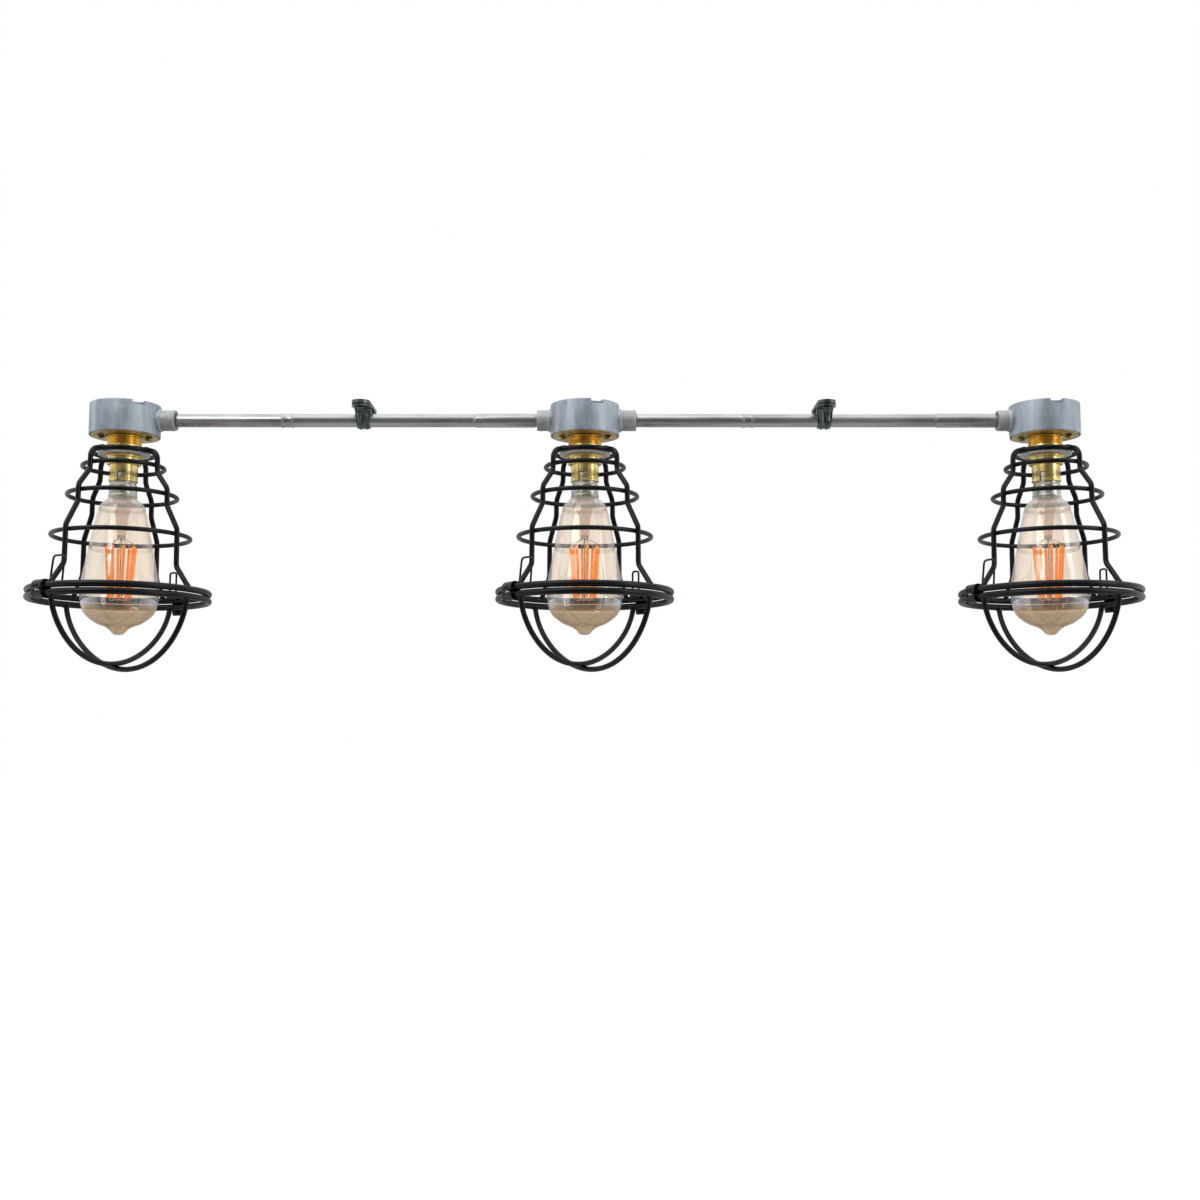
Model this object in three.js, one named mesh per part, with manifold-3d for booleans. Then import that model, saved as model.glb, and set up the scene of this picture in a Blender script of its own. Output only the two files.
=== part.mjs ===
// A ceiling light bar: three caged bayonet lamps on round conduit boxes, joined by two conduit runs.
// Millimetres. The origin is the centre of the middle box's flat back, +Z points up into the ceiling,
// X runs along the bar and -Y faces the room.
import * as THREE from 'three';
import { mergeVertices } from 'three/addons/utils/BufferGeometryUtils.js';
import Module from 'manifold-3d';

const wasm = await Module();
wasm.setup();

// ---- Driving dimensions ----

const degree = Math.PI / 180;
const lampPitch = 408;
const fitGap = 0.3;
// how far a cutter runs past the face that it cuts
const over = 1;
// each lamp head is turned on its box, so that all three show the same face to the middle of the room
const headTurn = 18;
const lamps = [
  { name: 'left', x: -lampPitch, turn: headTurn, spouts: [1] },
  { name: 'centre', x: 0, turn: 0, spouts: [-1, 1] },
  { name: 'right', x: lampPitch, turn: -headTurn, spouts: [-1] },
];

const box = { radius: 30.5, depth: 28, wall: 3.6, back: 3.2, chamfer: 0.8, sides: 24 };
// the step inside the mouth of the box that the cover plate sits in
const rebate = { radius: 29.2, seat: -26 };
const notch = { azimuth: -68, width: 11.5, depth: 4, length: 14, radius: 28 };
const fixing = { offset: 14, radius: 2.6 };
const lug = { offset: 20.2, radius: 4, top: -19.5, bottom: -26, webWidth: 7, intoWall: 1.6, sides: 10 };
const spout = {
  radius: 9.2, axisZ: -13.5, rightReach: 45.5, leftReach: 42.5, socket: 12, throat: 4.8, edge: 0.9,
  countersink: 1.2, boreFrom: 20, sides: 12,
};
const conduit = { radius: 5.8, bore: 4.6, sides: 12 };
const collar = { from: 139, to: 149.5, radius: 6.3 };
const sleeve = { from: 311, radius: 6.15, endGap: 2 };
const rollEdge = 0.6;
const runEndGap = 0.5;
const bundle = { radius: 2.2, offset: 3.6, rise: 10, endZ: -35, sides: 6 };

const plate = { radius: 28.6, top: -26.3, thickness: 2, hole: 9 };
const plateScrew = { head: 3.2, headHeight: 1.9, headEdge: 0.9, shank: 1.7, tip: -21 };
const holder = {
  foot: 15.4, footHeight: 1.2, body: 14.4, skirt: 1.2, lip: 15.8, lipTop: -37.3, lipBottom: -38.7,
  sleeve: 12.2, bore: 11.4, mouth: -69, wireHole: 8, sides: 18,
};
const slot = { entry: -108, turn: 20, pinZ: -62.5, pin: 1, clearance: 0.4 };
const core = { radius: 11, top: -41, bottom: -53, chamber: 2.6, chamberRoof: -43 };
const plunger = { offset: 4.6, radius: 2.2, top: -46.6, tip: -55.1, edge: 0.8 };
const shadeRing = { outer: 22.3, inner: 12.7, top: -41.6, bottom: -45.2 };
const clampRing = {
  inner: 12.7, waist: 13.7, flange: 15.6, flangeHeight: 1.6, bead: 14.9, beadTop: -51.4, beadBottom: -53.2,
  top: -45.5, bottom: -54,
};

const cap = {
  top: -56, bottom: -83, shell: 11, shoulder: 1.6, flareTop: -75, flareBottom: -79, rim: 12.4, inner: 9.8,
  floor: -60,
};
const pin = { from: 10, proud: 0.4 };
const pad = { radius: 2.4, height: 0.5 };
const glass = { skin: 1.1, tipWall: 2.7, gap: 0.4, sides: 16 };
const filaments = {
  count: 8, topRadius: 13, topZ: -125, bottomRadius: 9.2, bottomZ: -173, half: 1.1, phase: 0.25,
};
// the pressed glass stem, the wires that spring from its tip and the disc that ties the filaments below
const stem = { radius: 8.8, top: -64, shoulder: -84, waist: 5, waistZ: -100, tip: 3.4, tipZ: -119 };
const support = { radius: 0.6, from: 2.4, sink: 2 };
const hub = { over: 1, above: 0.6, below: 0.8 };
const spindleRadius = 0.9;

const wireSides = 4;
const smallSides = 8;
const gallery = { outer: 20.5, top: -39.9, thickness: 1.4, tab: 6.5, tabFrom: 17, tabOver: 0.8 };
const rings = [
  { radius: 27, z: -42.8, wire: 2.3, steps: 12 },
  { radius: 34.4, z: -56, wire: 2, steps: 12 },
  { radius: 46.1, z: -82, wire: 2, steps: 16 },
  { radius: 58.3, z: -118, wire: 2, steps: 20 },
  { radius: 75.5, z: -167, wire: 2.9, steps: 32 },
];
const rimRing = rings[4];
const rib = { wire: 2.3, azimuths: [60, 122, 224, 318], steps: 12 };
// the rib steps out round each ring: upright beside it, slanting between
const ribLine = [
  [27, -42.8], [34, -44], [37.6, -49], [37.9, -63], [49.5, -78],
  [49.7, -93], [61.6, -114.5], [61.9, -147], [75.5, -165.2],
];

const doorRing = { ...rimRing, z: rimRing.z - 2 * rimRing.wire - 0.4 };
const hoop = { wire: 2.4, reach: 74.6, steps: 12, power: 0.6, lean: 0.08 };
const hoops = [
  { from: 224, to: 54, bottom: -229.6 },
  { from: 318, to: 128, bottom: -234 },
];
const clip = { azimuth: 215, width: 14, clearance: 0.9, sheet: 1.2 };
// steps round each half circle of the bent sheet
const bendSteps = 6;
const clipLoop = { wire: 0.9, radius: 71.3, from: 217, near: 219.5, far: 231, top: -142 };
const latch = {
  azimuth: 50.5, width: 12, clearance: 0.9, sheet: 1.2, foot: -179.6, lip: 2.6, lipTop: -179.8,
  lipBottom: -181.2,
};
const latchLoop = { wire: 0.9, half: 3.5, shift: 2.4, top: -141 };

const saddle = {
  shift: 212, halfLength: 26, width: 16, base: 3, padGap: 0.2, strapWidth: 13, strap: 2, strapHalf: 16,
  bend: 1.6, screw: 18, baseHole: 1.7, strapHole: 1.9, earSides: 16,
};

const galvanised = { color: 0xa9b4bf, roughness: 0.5, metalness: 0.75 };
const conduitSteel = { color: 0x8f9194, roughness: 0.4, metalness: 0.85 };
const brass = { color: 0xc9ab6a, roughness: 0.3, metalness: 0.95 };
const whitePlastic = { color: 0xdcdcd6, roughness: 0.45, metalness: 0 };
const blackWire = { color: 0x17171c, roughness: 0.32, metalness: 0.2 };
const darkSaddle = { color: 0x26302c, roughness: 0.3, metalness: 0.6 };
const insulator = { color: 0x2a2320, roughness: 0.5, metalness: 0 };
const capSteel = { color: 0xa8a69a, roughness: 0.35, metalness: 0.85 };
const amberGlass = { color: 0xc9a677, roughness: 0.05, metalness: 0 };
const filamentOrange = { color: 0xe8802e, roughness: 0.5, metalness: 0 };
const cableGrey = { color: 0x77787a, roughness: 0.6, metalness: 0 };

// ---- Solids ----

// merges shared corners and drops the triangles that a lathe leaves on its axis
function closed(geometry) {
  const bare = geometry.clone();
  bare.deleteAttribute('normal');
  bare.deleteAttribute('uv');
  const merged = mergeVertices(bare, 1e-4);
  const index = merged.index.array;
  const kept = [];
  for (let i = 0; i < index.length; i += 3) {
    const [a, b, c] = [index[i], index[i + 1], index[i + 2]];
    if (a !== b && b !== c && c !== a) kept.push(a, b, c);
  }
  merged.setIndex(kept);
  return merged;
}

function enclosedVolume(geometry) {
  const at = geometry.attributes.position;
  const index = geometry.index.array;
  const corner = [new THREE.Vector3(), new THREE.Vector3(), new THREE.Vector3()];
  let sum = 0;
  for (let i = 0; i < index.length; i += 3) {
    corner.forEach((point, k) => point.fromBufferAttribute(at, index[i + k]));
    sum += corner[0].dot(corner[1].clone().cross(corner[2])) / 6;
  }
  return sum;
}

// turns a closed geometry's faces outward
function facingOut(geometry) {
  const whole = closed(geometry);
  if (enclosedVolume(whole) < 0) {
    whole.setIndex(Array.from(whole.index.array).reverse());
  }
  return whole;
}

function toSolid(geometry) {
  const whole = facingOut(geometry);
  return new wasm.Manifold(new wasm.Mesh({
    numProp: 3,
    vertProperties: new Float32Array(whole.attributes.position.array),
    triVerts: new Uint32Array(whole.index.array),
  }));
}

function toGeometry(solid) {
  const mesh = solid.getMesh();
  const geometry = new THREE.BufferGeometry();
  geometry.setAttribute('position', new THREE.BufferAttribute(mesh.vertProperties, 3));
  geometry.setIndex(new THREE.BufferAttribute(mesh.triVerts, 1));
  return geometry;
}

const joined = (geometries) => geometries.map(toSolid).reduce((whole, next) => whole.add(next));
const cutBy = (solid, geometries) => geometries.map(toSolid)
  .reduce((rest, next) => rest.subtract(next), solid);

// a profile of [radius, height] points turned about Z
function turned(profile, sides) {
  const points = profile.map(([radius, height]) => new THREE.Vector2(radius, height));
  return new THREE.LatheGeometry(points, sides).rotateX(Math.PI / 2);
}

// the same for a profile that encloses the section of a ring or tube
const turnedRing = (profile, sides) => turned([...profile, profile[0]], sides);

function rod(radius, from, to, sides, x = 0, y = 0) {
  const length = Math.abs(from - to);
  return new THREE.CylinderGeometry(radius, radius, length, sides).rotateX(Math.PI / 2)
    .translate(x, y, (from + to) / 2);
}

function block(width, depth, height, x, y, z) {
  return new THREE.BoxGeometry(width, depth, height).translate(x, y, z);
}

function circlePoints(radius, sides, x = 0, y = 0) {
  return Array.from({ length: sides }, (_, k) => {
    const angle = (2 * Math.PI * k) / sides;
    return new THREE.Vector2(x + radius * Math.cos(angle), y + radius * Math.sin(angle));
  });
}

function polar(radius, azimuth, z) {
  return new THREE.Vector3(radius * Math.cos(azimuth * degree), radius * Math.sin(azimuth * degree), z);
}

function wireAlong(points, radius, steps, tension = 0.3) {
  const path = new THREE.CatmullRomCurve3(points, false, 'catmullrom', tension);
  const section = new THREE.Shape(circlePoints(radius, wireSides));
  return new THREE.ExtrudeGeometry(section, { steps, bevelEnabled: false, extrudePath: path });
}

const wireRing = ({ radius, z, wire, steps }) => new THREE.TorusGeometry(radius, wire, wireSides, steps)
  .translate(0, 0, z);

// a slice of a tube between two azimuths
function sector(inner, outer, from, to, bottom, top) {
  const steps = 6;
  const arc = (radius, k) => {
    const angle = (from + ((to - from) * k) / steps) * degree;
    return new THREE.Vector2(radius * Math.cos(angle), radius * Math.sin(angle));
  };
  const outline = [];
  for (let k = 0; k <= steps; k += 1) outline.push(arc(outer, k));
  for (let k = steps; k >= 0; k -= 1) outline.push(arc(inner, k));
  return new THREE.ExtrudeGeometry(new THREE.Shape(outline), { depth: top - bottom, bevelEnabled: false })
    .translate(0, 0, bottom);
}

// places a section drawn in (radial, Z) across the tangent of a ring
function acrossRing(shape, width, azimuth, radius) {
  return new THREE.ExtrudeGeometry(shape, { depth: width, bevelEnabled: false })
    .translate(0, 0, -width / 2).rotateX(Math.PI / 2)
    .translate(radius, 0, 0).rotateZ(azimuth * degree);
}

// ---- Conduit box ----

function spoutSides(side) {
  const reach = side > 0 ? spout.rightReach : spout.leftReach;
  const along = (profile, sides) => turned(profile, sides).rotateY(side * Math.PI / 2)
    .translate(0, 0, spout.axisZ);
  const body = along([
    [0, box.radius - box.wall + 0.3], [spout.radius, box.radius - box.wall + 0.3],
    [spout.radius, reach - spout.edge], [spout.radius - spout.edge, reach], [0, reach],
  ], spout.sides);
  const socketRadius = conduit.radius + fitGap;
  const bore = along([
    [0, spout.boreFrom], [spout.throat, spout.boreFrom], [spout.throat, reach - spout.socket],
    [socketRadius, reach - spout.socket], [socketRadius, reach - spout.countersink],
    [socketRadius + spout.countersink, reach], [socketRadius + spout.countersink, reach + over],
    [0, reach + over],
  ], spout.sides);
  return { body, bore };
}

function boxLug(side, turn) {
  const web = block(box.radius - lug.offset, lug.webWidth, lug.top - lug.bottom,
    side * (lug.offset + box.radius - lug.intoWall) / 2, 0, (lug.top + lug.bottom) / 2);
  const post = rod(lug.radius, lug.top, lug.bottom, lug.sides, side * lug.offset);
  return [web, post].map((piece) => piece.rotateZ(turn * degree));
}

function conduitBox(lamp) {
  const inside = box.radius - box.wall;
  const cup = turned([
    [0, 0], [box.radius, 0], [box.radius, box.chamfer - box.depth],
    [box.radius - box.chamfer, -box.depth], [rebate.radius, -box.depth], [rebate.radius, rebate.seat],
    [inside, rebate.seat], [inside, -box.back], [0, -box.back],
  ], box.sides);
  const spouts = lamp.spouts.map(spoutSides);
  const lugs = [-1, 1].flatMap((side) => boxLug(side, lamp.turn));
  const lugHoles = [-1, 1].map((side) => rod(plateScrew.shank + fitGap, lug.top + over, lug.bottom - over,
    smallSides, side * lug.offset).rotateZ(lamp.turn * degree));
  const fixings = [-1, 1].map((side) => rod(fixing.radius, over, -box.back - over,
    smallSides, 0, side * fixing.offset));
  const notches = [0, 180].map((half) => block(notch.length, notch.width, 2 * notch.depth, notch.radius, 0, 0)
    .rotateZ((notch.azimuth + lamp.turn + half) * degree));
  return cutBy(joined([cup, ...spouts.map(({ body }) => body), ...lugs]), [
    ...spouts.map(({ bore }) => bore), ...lugHoles, ...fixings, ...notches,
  ]);
}

// ---- Lamp head: cover plate, lampholder and the rings on it ----

function coverPlate() {
  const outline = new THREE.Shape(circlePoints(plate.radius, box.sides));
  outline.holes.push(new THREE.Path(circlePoints(plate.hole, 16)));
  [-1, 1].forEach((side) => {
    outline.holes.push(new THREE.Path(circlePoints(plateScrew.shank + 0.4, smallSides, side * lug.offset)));
  });
  return new THREE.ExtrudeGeometry(outline, { depth: plate.thickness, bevelEnabled: false })
    .translate(0, 0, plate.top - plate.thickness);
}

function screwGeometry() {
  const seat = plate.top - plate.thickness - fitGap;
  const face = seat - plateScrew.headHeight;
  return turned([
    [0, plateScrew.tip], [plateScrew.shank, plateScrew.tip - 0.6], [plateScrew.shank, seat],
    [plateScrew.head, seat], [plateScrew.head, face + plateScrew.headEdge],
    [plateScrew.head - plateScrew.headEdge, face], [0, face],
  ], smallSides);
}

function lampholder() {
  const seat = plate.top - plate.thickness - fitGap;
  const inside = holder.body - holder.skirt;
  const roof = seat - holder.footHeight;
  const body = toSolid(turnedRing([
    [holder.wireHole, seat], [holder.foot, seat], [holder.foot, roof],
    [holder.body, roof - holder.footHeight],
    [holder.body, holder.lipTop + 0.5], [holder.lip, holder.lipTop], [holder.lip, holder.lipBottom],
    [holder.sleeve, holder.lipBottom - 0.6], [holder.sleeve, holder.mouth], [holder.bore, holder.mouth],
    [holder.bore, holder.lipBottom - 0.8], [inside, holder.lipBottom + 0.7], [inside, roof],
    [holder.wireHole, roof],
  ], holder.sides));
  const half = ((slot.pin + slot.clearance) / holder.sleeve) / degree;
  const reach = slot.pin + slot.clearance;
  const cuts = [0, 180].flatMap((opposite) => {
    const entry = slot.entry + opposite;
    const [near, far] = [holder.bore - over, holder.sleeve + over];
    return [
      sector(near, far, entry - half, entry + half, holder.mouth - over, slot.pinZ + reach),
      sector(near, far, entry - half, entry + slot.turn + half, slot.pinZ - reach, slot.pinZ + reach),
    ];
  });
  return cutBy(body, cuts);
}

const contactAzimuth = slot.entry + slot.turn + 90;

function insulatorCore() {
  const body = toSolid(rod(core.radius, core.top, core.bottom, holder.sides));
  const chambers = [0, 180].map((opposite) => {
    const at = polar(plunger.offset, contactAzimuth + opposite, 0);
    return rod(core.chamber, core.chamberRoof, core.bottom - over, smallSides, at.x, at.y);
  });
  return cutBy(body, chambers);
}

function plungerGeometry() {
  return turned([
    [0, plunger.top], [plunger.radius, plunger.top], [plunger.radius, plunger.tip + plunger.edge],
    [plunger.radius - plunger.edge, plunger.tip], [0, plunger.tip],
  ], smallSides);
}

function shadeRingGeometry() {
  return turnedRing([
    [shadeRing.inner, shadeRing.top], [shadeRing.outer, shadeRing.top],
    [shadeRing.outer, shadeRing.bottom], [shadeRing.inner, shadeRing.bottom],
  ], holder.sides);
}

function clampRingGeometry() {
  return turnedRing([
    [clampRing.inner, clampRing.top], [clampRing.flange, clampRing.top],
    [clampRing.flange, clampRing.top - clampRing.flangeHeight],
    [clampRing.waist, clampRing.top - clampRing.flangeHeight - 1],
    [clampRing.waist, clampRing.beadTop + 0.8], [clampRing.bead, clampRing.beadTop],
    [clampRing.bead, clampRing.beadBottom], [clampRing.waist, clampRing.bottom],
    [clampRing.inner, clampRing.bottom],
  ], holder.sides);
}

// ---- Bulb: cap, glass and the mount with its filaments ----

function bulbCap() {
  const shell = turned([
    [0, cap.top], [cap.shell - cap.shoulder, cap.top], [cap.shell, cap.top - cap.shoulder],
    [cap.shell, cap.flareTop], [cap.rim, cap.flareBottom], [cap.rim, cap.bottom],
    [cap.inner, cap.bottom], [cap.inner, cap.floor],
    [0, cap.floor],
  ], holder.sides);
  const pins = [0, 180].map((opposite) => {
    const length = holder.sleeve + pin.proud - pin.from;
    return new THREE.CylinderGeometry(slot.pin, slot.pin, length, smallSides).rotateZ(Math.PI / 2)
      .translate(pin.from + length / 2, 0, slot.pinZ)
      .rotateZ((slot.entry + slot.turn + opposite) * degree);
  });
  const pads = [0, 180].map((opposite) => {
    const at = polar(plunger.offset, contactAzimuth + opposite, 0);
    return rod(pad.radius, cap.top + pad.height, cap.top - pad.height, smallSides, at.x, at.y);
  });
  return joined([shell, ...pins, ...pads]);
}

// the teardrop from the neck to the tip
const glassLine = [
  [12.3, cap.bottom - glass.gap], [16.6, -87.5], [19.7, -92], [22.6, -104.5], [27, -127], [31.2, -149],
  [33.5, -166], [32.6, -177], [28.5, -187], [19, -194.3], [10, -198], [5.5, -202.3], [0, -204.5],
];

function bulbGlass() {
  const inside = glassLine.filter((_, k) => k % 2 === 0 && k < glassLine.length - 1)
    .map(([radius, z]) => [radius - glass.skin, z]);
  inside.push([0, glassLine[glassLine.length - 1][1] + glass.tipWall]);
  inside[0][1] = glassLine[0][1];
  return turned([...inside.reverse(), ...glassLine], glass.sides);
}

// a bar with its axis between two points
function strut(from, to, radius, sides = 4) {
  const way = to.clone().sub(from);
  const upright = new THREE.Vector3(0, 1, 0);
  const turnTo = new THREE.Quaternion().setFromUnitVectors(upright, way.clone().normalize());
  const middle = from.clone().add(to).multiplyScalar(0.5);
  return new THREE.CylinderGeometry(radius, radius, way.length(), sides)
    .applyQuaternion(turnTo).translate(middle.x, middle.y, middle.z);
}

function bulbMount() {
  const pressed = turned([
    [0, stem.top], [stem.radius, stem.top], [stem.radius, stem.shoulder], [stem.waist, stem.waistZ],
    [stem.tip, stem.tipZ], [0, stem.tipZ],
  ], smallSides);
  const { bottomZ } = filaments;
  const sprung = stem.tipZ + support.sink;
  const spindle = rod(spindleRadius, sprung, bottomZ - hub.above, 4);
  const disc = rod(filaments.bottomRadius + hub.over, bottomZ + hub.above, bottomZ - hub.below, smallSides);
  const pieces = [pressed, spindle, disc];
  for (let k = 0; k < filaments.count; k += 1) {
    const azimuth = (360 * (k + filaments.phase)) / filaments.count;
    const top = polar(filaments.topRadius, azimuth, filaments.topZ);
    const bottom = polar(filaments.bottomRadius, azimuth, bottomZ);
    pieces.push(strut(top, bottom, filaments.half));
    pieces.push(strut(polar(support.from, azimuth, sprung), top.clone().setZ(filaments.topZ - 0.5),
      support.radius));
  }
  return joined(pieces);
}

// ---- Cage, its hinged lower guard, the hinge clip and the latch ----

function cageFrame() {
  const eye = turnedRing([
    [shadeRing.inner, gallery.top], [gallery.outer, gallery.top],
    [gallery.outer, gallery.top - gallery.thickness], [shadeRing.inner, gallery.top - gallery.thickness],
  ], 16);
  const tabLength = rings[0].radius + gallery.tabOver - gallery.tabFrom;
  const tabs = rib.azimuths.map((azimuth) => block(tabLength, gallery.tab, gallery.thickness,
    gallery.tabFrom + tabLength / 2, 0, gallery.top - gallery.thickness / 2).rotateZ(azimuth * degree));
  const ribs = rib.azimuths.map((azimuth) => wireAlong(
    ribLine.map(([radius, z]) => polar(radius, azimuth, z)), rib.wire, rib.steps));
  return joined([eye, ...tabs, ...rings.map(wireRing), ...ribs]);
}

// a wire from front to rear in one upright plane
function hoopWire({ from, to, bottom }) {
  const depth = doorRing.z - bottom;
  const [front, rear] = [polar(hoop.reach, from, 0), polar(hoop.reach, to, 0)];
  const points = [];
  for (let k = 0; k <= 12; k += 1) {
    const share = -Math.cos((Math.PI * k) / 12);
    const drop = Math.max(0, 1 - share * share) ** hoop.power * (1 - hoop.lean * share);
    const point = front.clone().lerp(rear, (1 + share) / 2);
    points.push(point.setZ(doorRing.z - depth * drop));
  }
  return wireAlong(points, hoop.wire, hoop.steps, 0.5);
}

const cageDoor = () => joined([wireRing(doorRing), ...hoops.map(hoopWire)]);

// a round-ended slot shape, upright, about the two ring wires
function capsule(radius, lower, upper) {
  const outline = [];
  [upper, lower].forEach((z, half) => {
    for (let k = 0; k <= bendSteps; k += 1) {
      const angle = Math.PI * (half + k / bendSteps);
      outline.push(new THREE.Vector2(radius * Math.cos(angle), z + radius * Math.sin(angle)));
    }
  });
  return outline;
}

function hingeClip() {
  const inside = rimRing.wire + clip.clearance;
  const band = new THREE.Shape(capsule(inside + clip.sheet, doorRing.z, rimRing.z));
  band.holes.push(new THREE.Path(capsule(inside, doorRing.z, rimRing.z)));
  const { radius, from, near, far, top } = clipLoop;
  const loop = wireAlong([
    polar(radius, from, rimRing.z + 1), polar(radius, near, rimRing.z + 1.5),
    polar(radius, near + 0.6, rimRing.z + 5), polar(radius - 1.5, near + 0.8, top - 8),
    polar(radius - 2, near + 3, top - 1), polar(radius - 2, far - 3, top),
    polar(radius - 1.5, far, top - 8), polar(radius, far, rimRing.z + 3),
  ], clipLoop.wire, 14);
  return joined([acrossRing(band, clip.width, clip.azimuth, rimRing.radius), loop]);
}

// a hook over the upper rim wire with a tongue down the outside of the lower one
function latchSection() {
  const inner = rimRing.wire + latch.clearance;
  const outer = inner + latch.sheet;
  const outline = [];
  const arc = (radius, k) => {
    const angle = Math.PI * (k / bendSteps);
    return new THREE.Vector2(radius * Math.cos(angle), rimRing.z + radius * Math.sin(angle));
  };
  for (let k = 0; k <= bendSteps; k += 1) outline.push(arc(outer, k));
  for (let k = bendSteps; k >= 0; k -= 1) outline.push(arc(inner, k));
  outline.push(new THREE.Vector2(inner, latch.foot));
  outline.push(new THREE.Vector2(inner + latch.lip, latch.lipBottom));
  outline.push(new THREE.Vector2(inner + latch.lip, latch.lipTop));
  outline.push(new THREE.Vector2(outer, latch.foot + 1));
  return new THREE.Shape(outline);
}

function latchGeometry() {
  const hook = acrossRing(latchSection(), latch.width, latch.azimuth, rimRing.radius);
  const crown = rimRing.z + rimRing.wire + latch.clearance + latch.sheet / 2;
  const { half, shift, top, wire } = latchLoop;
  const loop = wireAlong([[-half, crown - 0.3], [-half, crown + 4], [-half, top - 4], [-half + 1.6, top],
    [half - 1.6, top], [half, top - 4], [half, crown + 4], [half, crown - 0.3]]
    .map(([along, z]) => new THREE.Vector3(0, along + shift, z)), wire, 14)
    .translate(rimRing.radius, 0, 0).rotateZ(latch.azimuth * degree);
  return joined([hook, loop]);
}

// ---- Conduit runs ----

// drawn along X from the left lamp's axis
function conduitTube() {
  const from = spout.rightReach - spout.socket + runEndGap;
  const to = lampPitch - spout.leftReach + spout.socket - runEndGap;
  const sleeveEnd = lampPitch - spout.leftReach - sleeve.endGap;
  return turnedRing([
    [conduit.bore, from], [conduit.radius, from], [conduit.radius, collar.from],
    [collar.radius, collar.from + rollEdge], [collar.radius, collar.to - rollEdge],
    [conduit.radius, collar.to], [conduit.radius, sleeve.from], [sleeve.radius, sleeve.from + rollEdge],
    [sleeve.radius, sleeveEnd], [conduit.radius, sleeveEnd + rollEdge],
    [conduit.radius, to], [conduit.bore, to],
  ], conduit.sides).rotateY(Math.PI / 2).translate(0, 0, spout.axisZ);
}

// the insulated cores from one lampholder to the next
function wireBundle() {
  const z = spout.axisZ;
  const { offset, rise, endZ, radius } = bundle;
  const nearX = offset + rise;
  const straight = new THREE.CylinderGeometry(radius, radius, lampPitch - 2 * nearX, bundle.sides)
    .rotateZ(Math.PI / 2).translate(lampPitch / 2, 0, z);
  const section = new THREE.Shape(circlePoints(radius, bundle.sides));
  const bend = (x, way) => new THREE.ExtrudeGeometry(section, {
    steps: 5,
    bevelEnabled: false,
    extrudePath: new THREE.CatmullRomCurve3([
      new THREE.Vector3(x, 0, endZ), new THREE.Vector3(x, 0, z - rise),
      new THREE.Vector3(x + way * rise * 0.3, 0, z - rise * 0.3), new THREE.Vector3(x + way * rise, 0, z),
      new THREE.Vector3(x + way * (rise + 2), 0, z),
    ]),
  });
  return joined([straight, bend(offset, 1), bend(lampPitch - offset, -1)]);
}

function roundEndedBar(width, halfLength, thickness, top) {
  const radius = width / 2;
  const ends = [-1, 1].map((side) => rod(radius, top, top - thickness, saddle.earSides, 0,
    side * (halfLength - radius)));
  const middle = block(width, 2 * (halfLength - radius), thickness, 0, 0, top - thickness / 2);
  return [middle, ...ends];
}

function saddleBase() {
  const padTop = spout.axisZ + conduit.radius + fitGap;
  const sunk = saddle.base / 2;
  const raised = block(saddle.strapWidth, 2 * (conduit.radius - saddle.padGap), -sunk - padTop, 0, 0,
    (padTop - sunk) / 2);
  const screws = [-1, 1].map((side) => rod(saddle.baseHole, over, -saddle.base - over, smallSides, 0,
    side * saddle.screw));
  return cutBy(joined([...roundEndedBar(saddle.width, saddle.halfLength, saddle.base, 0), raised]), screws);
}

function saddleStrap() {
  const inner = conduit.radius + fitGap;
  const outer = inner + saddle.strap;
  const earTop = -saddle.base - fitGap;
  const earBottom = earTop - saddle.strap;
  const bendStart = inner + saddle.bend;
  const arc = (radius, k) => new THREE.Vector2(
    radius * Math.cos(Math.PI * (1 + k / 8)), spout.axisZ + radius * Math.sin(Math.PI * (1 + k / 8)));
  const flat = (x, z) => new THREE.Vector2(x, z);
  const wrap = [flat(-saddle.strapHalf, earBottom), flat(-outer - over, earBottom)];
  for (let k = 0; k <= 8; k += 1) wrap.push(arc(outer, k));
  wrap.push(flat(outer + over, earBottom), flat(saddle.strapHalf, earBottom), flat(saddle.strapHalf, earTop));
  wrap.push(flat(bendStart, earTop), flat(inner, earTop - saddle.bend));
  for (let k = 8; k >= 0; k -= 1) wrap.push(arc(inner, k));
  wrap.push(flat(-inner, earTop - saddle.bend), flat(-bendStart, earTop), flat(-saddle.strapHalf, earTop));
  const strap = new THREE.ExtrudeGeometry(new THREE.Shape(wrap), {
    depth: saddle.strapWidth,
    bevelEnabled: false,
  }).translate(0, 0, -saddle.strapWidth / 2).rotateX(Math.PI / 2).rotateZ(Math.PI / 2);
  const earY = saddle.halfLength - saddle.width / 2;
  const ears = [-1, 1].flatMap((side) => [
    rod(saddle.width / 2, earTop, earBottom, saddle.earSides, 0, side * earY),
    block(saddle.width, saddle.width / 2, saddle.strap, 0, side * (earY - saddle.width / 4),
      (earTop + earBottom) / 2),
  ]);
  const screws = [-1, 1].map((side) => rod(saddle.strapHole, 0, spout.axisZ, smallSides, 0,
    side * saddle.screw));
  return cutBy(joined([strap, ...ears]), screws);
}

// ---- Assembly ----

const group = new THREE.Group();

function addMesh(parent, name, geometry, finish, x = 0, y = 0) {
  const mesh = new THREE.Mesh(geometry, new THREE.MeshStandardMaterial(finish));
  mesh.name = name;
  mesh.position.set(x, y, 0);
  parent.add(mesh);
}

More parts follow.
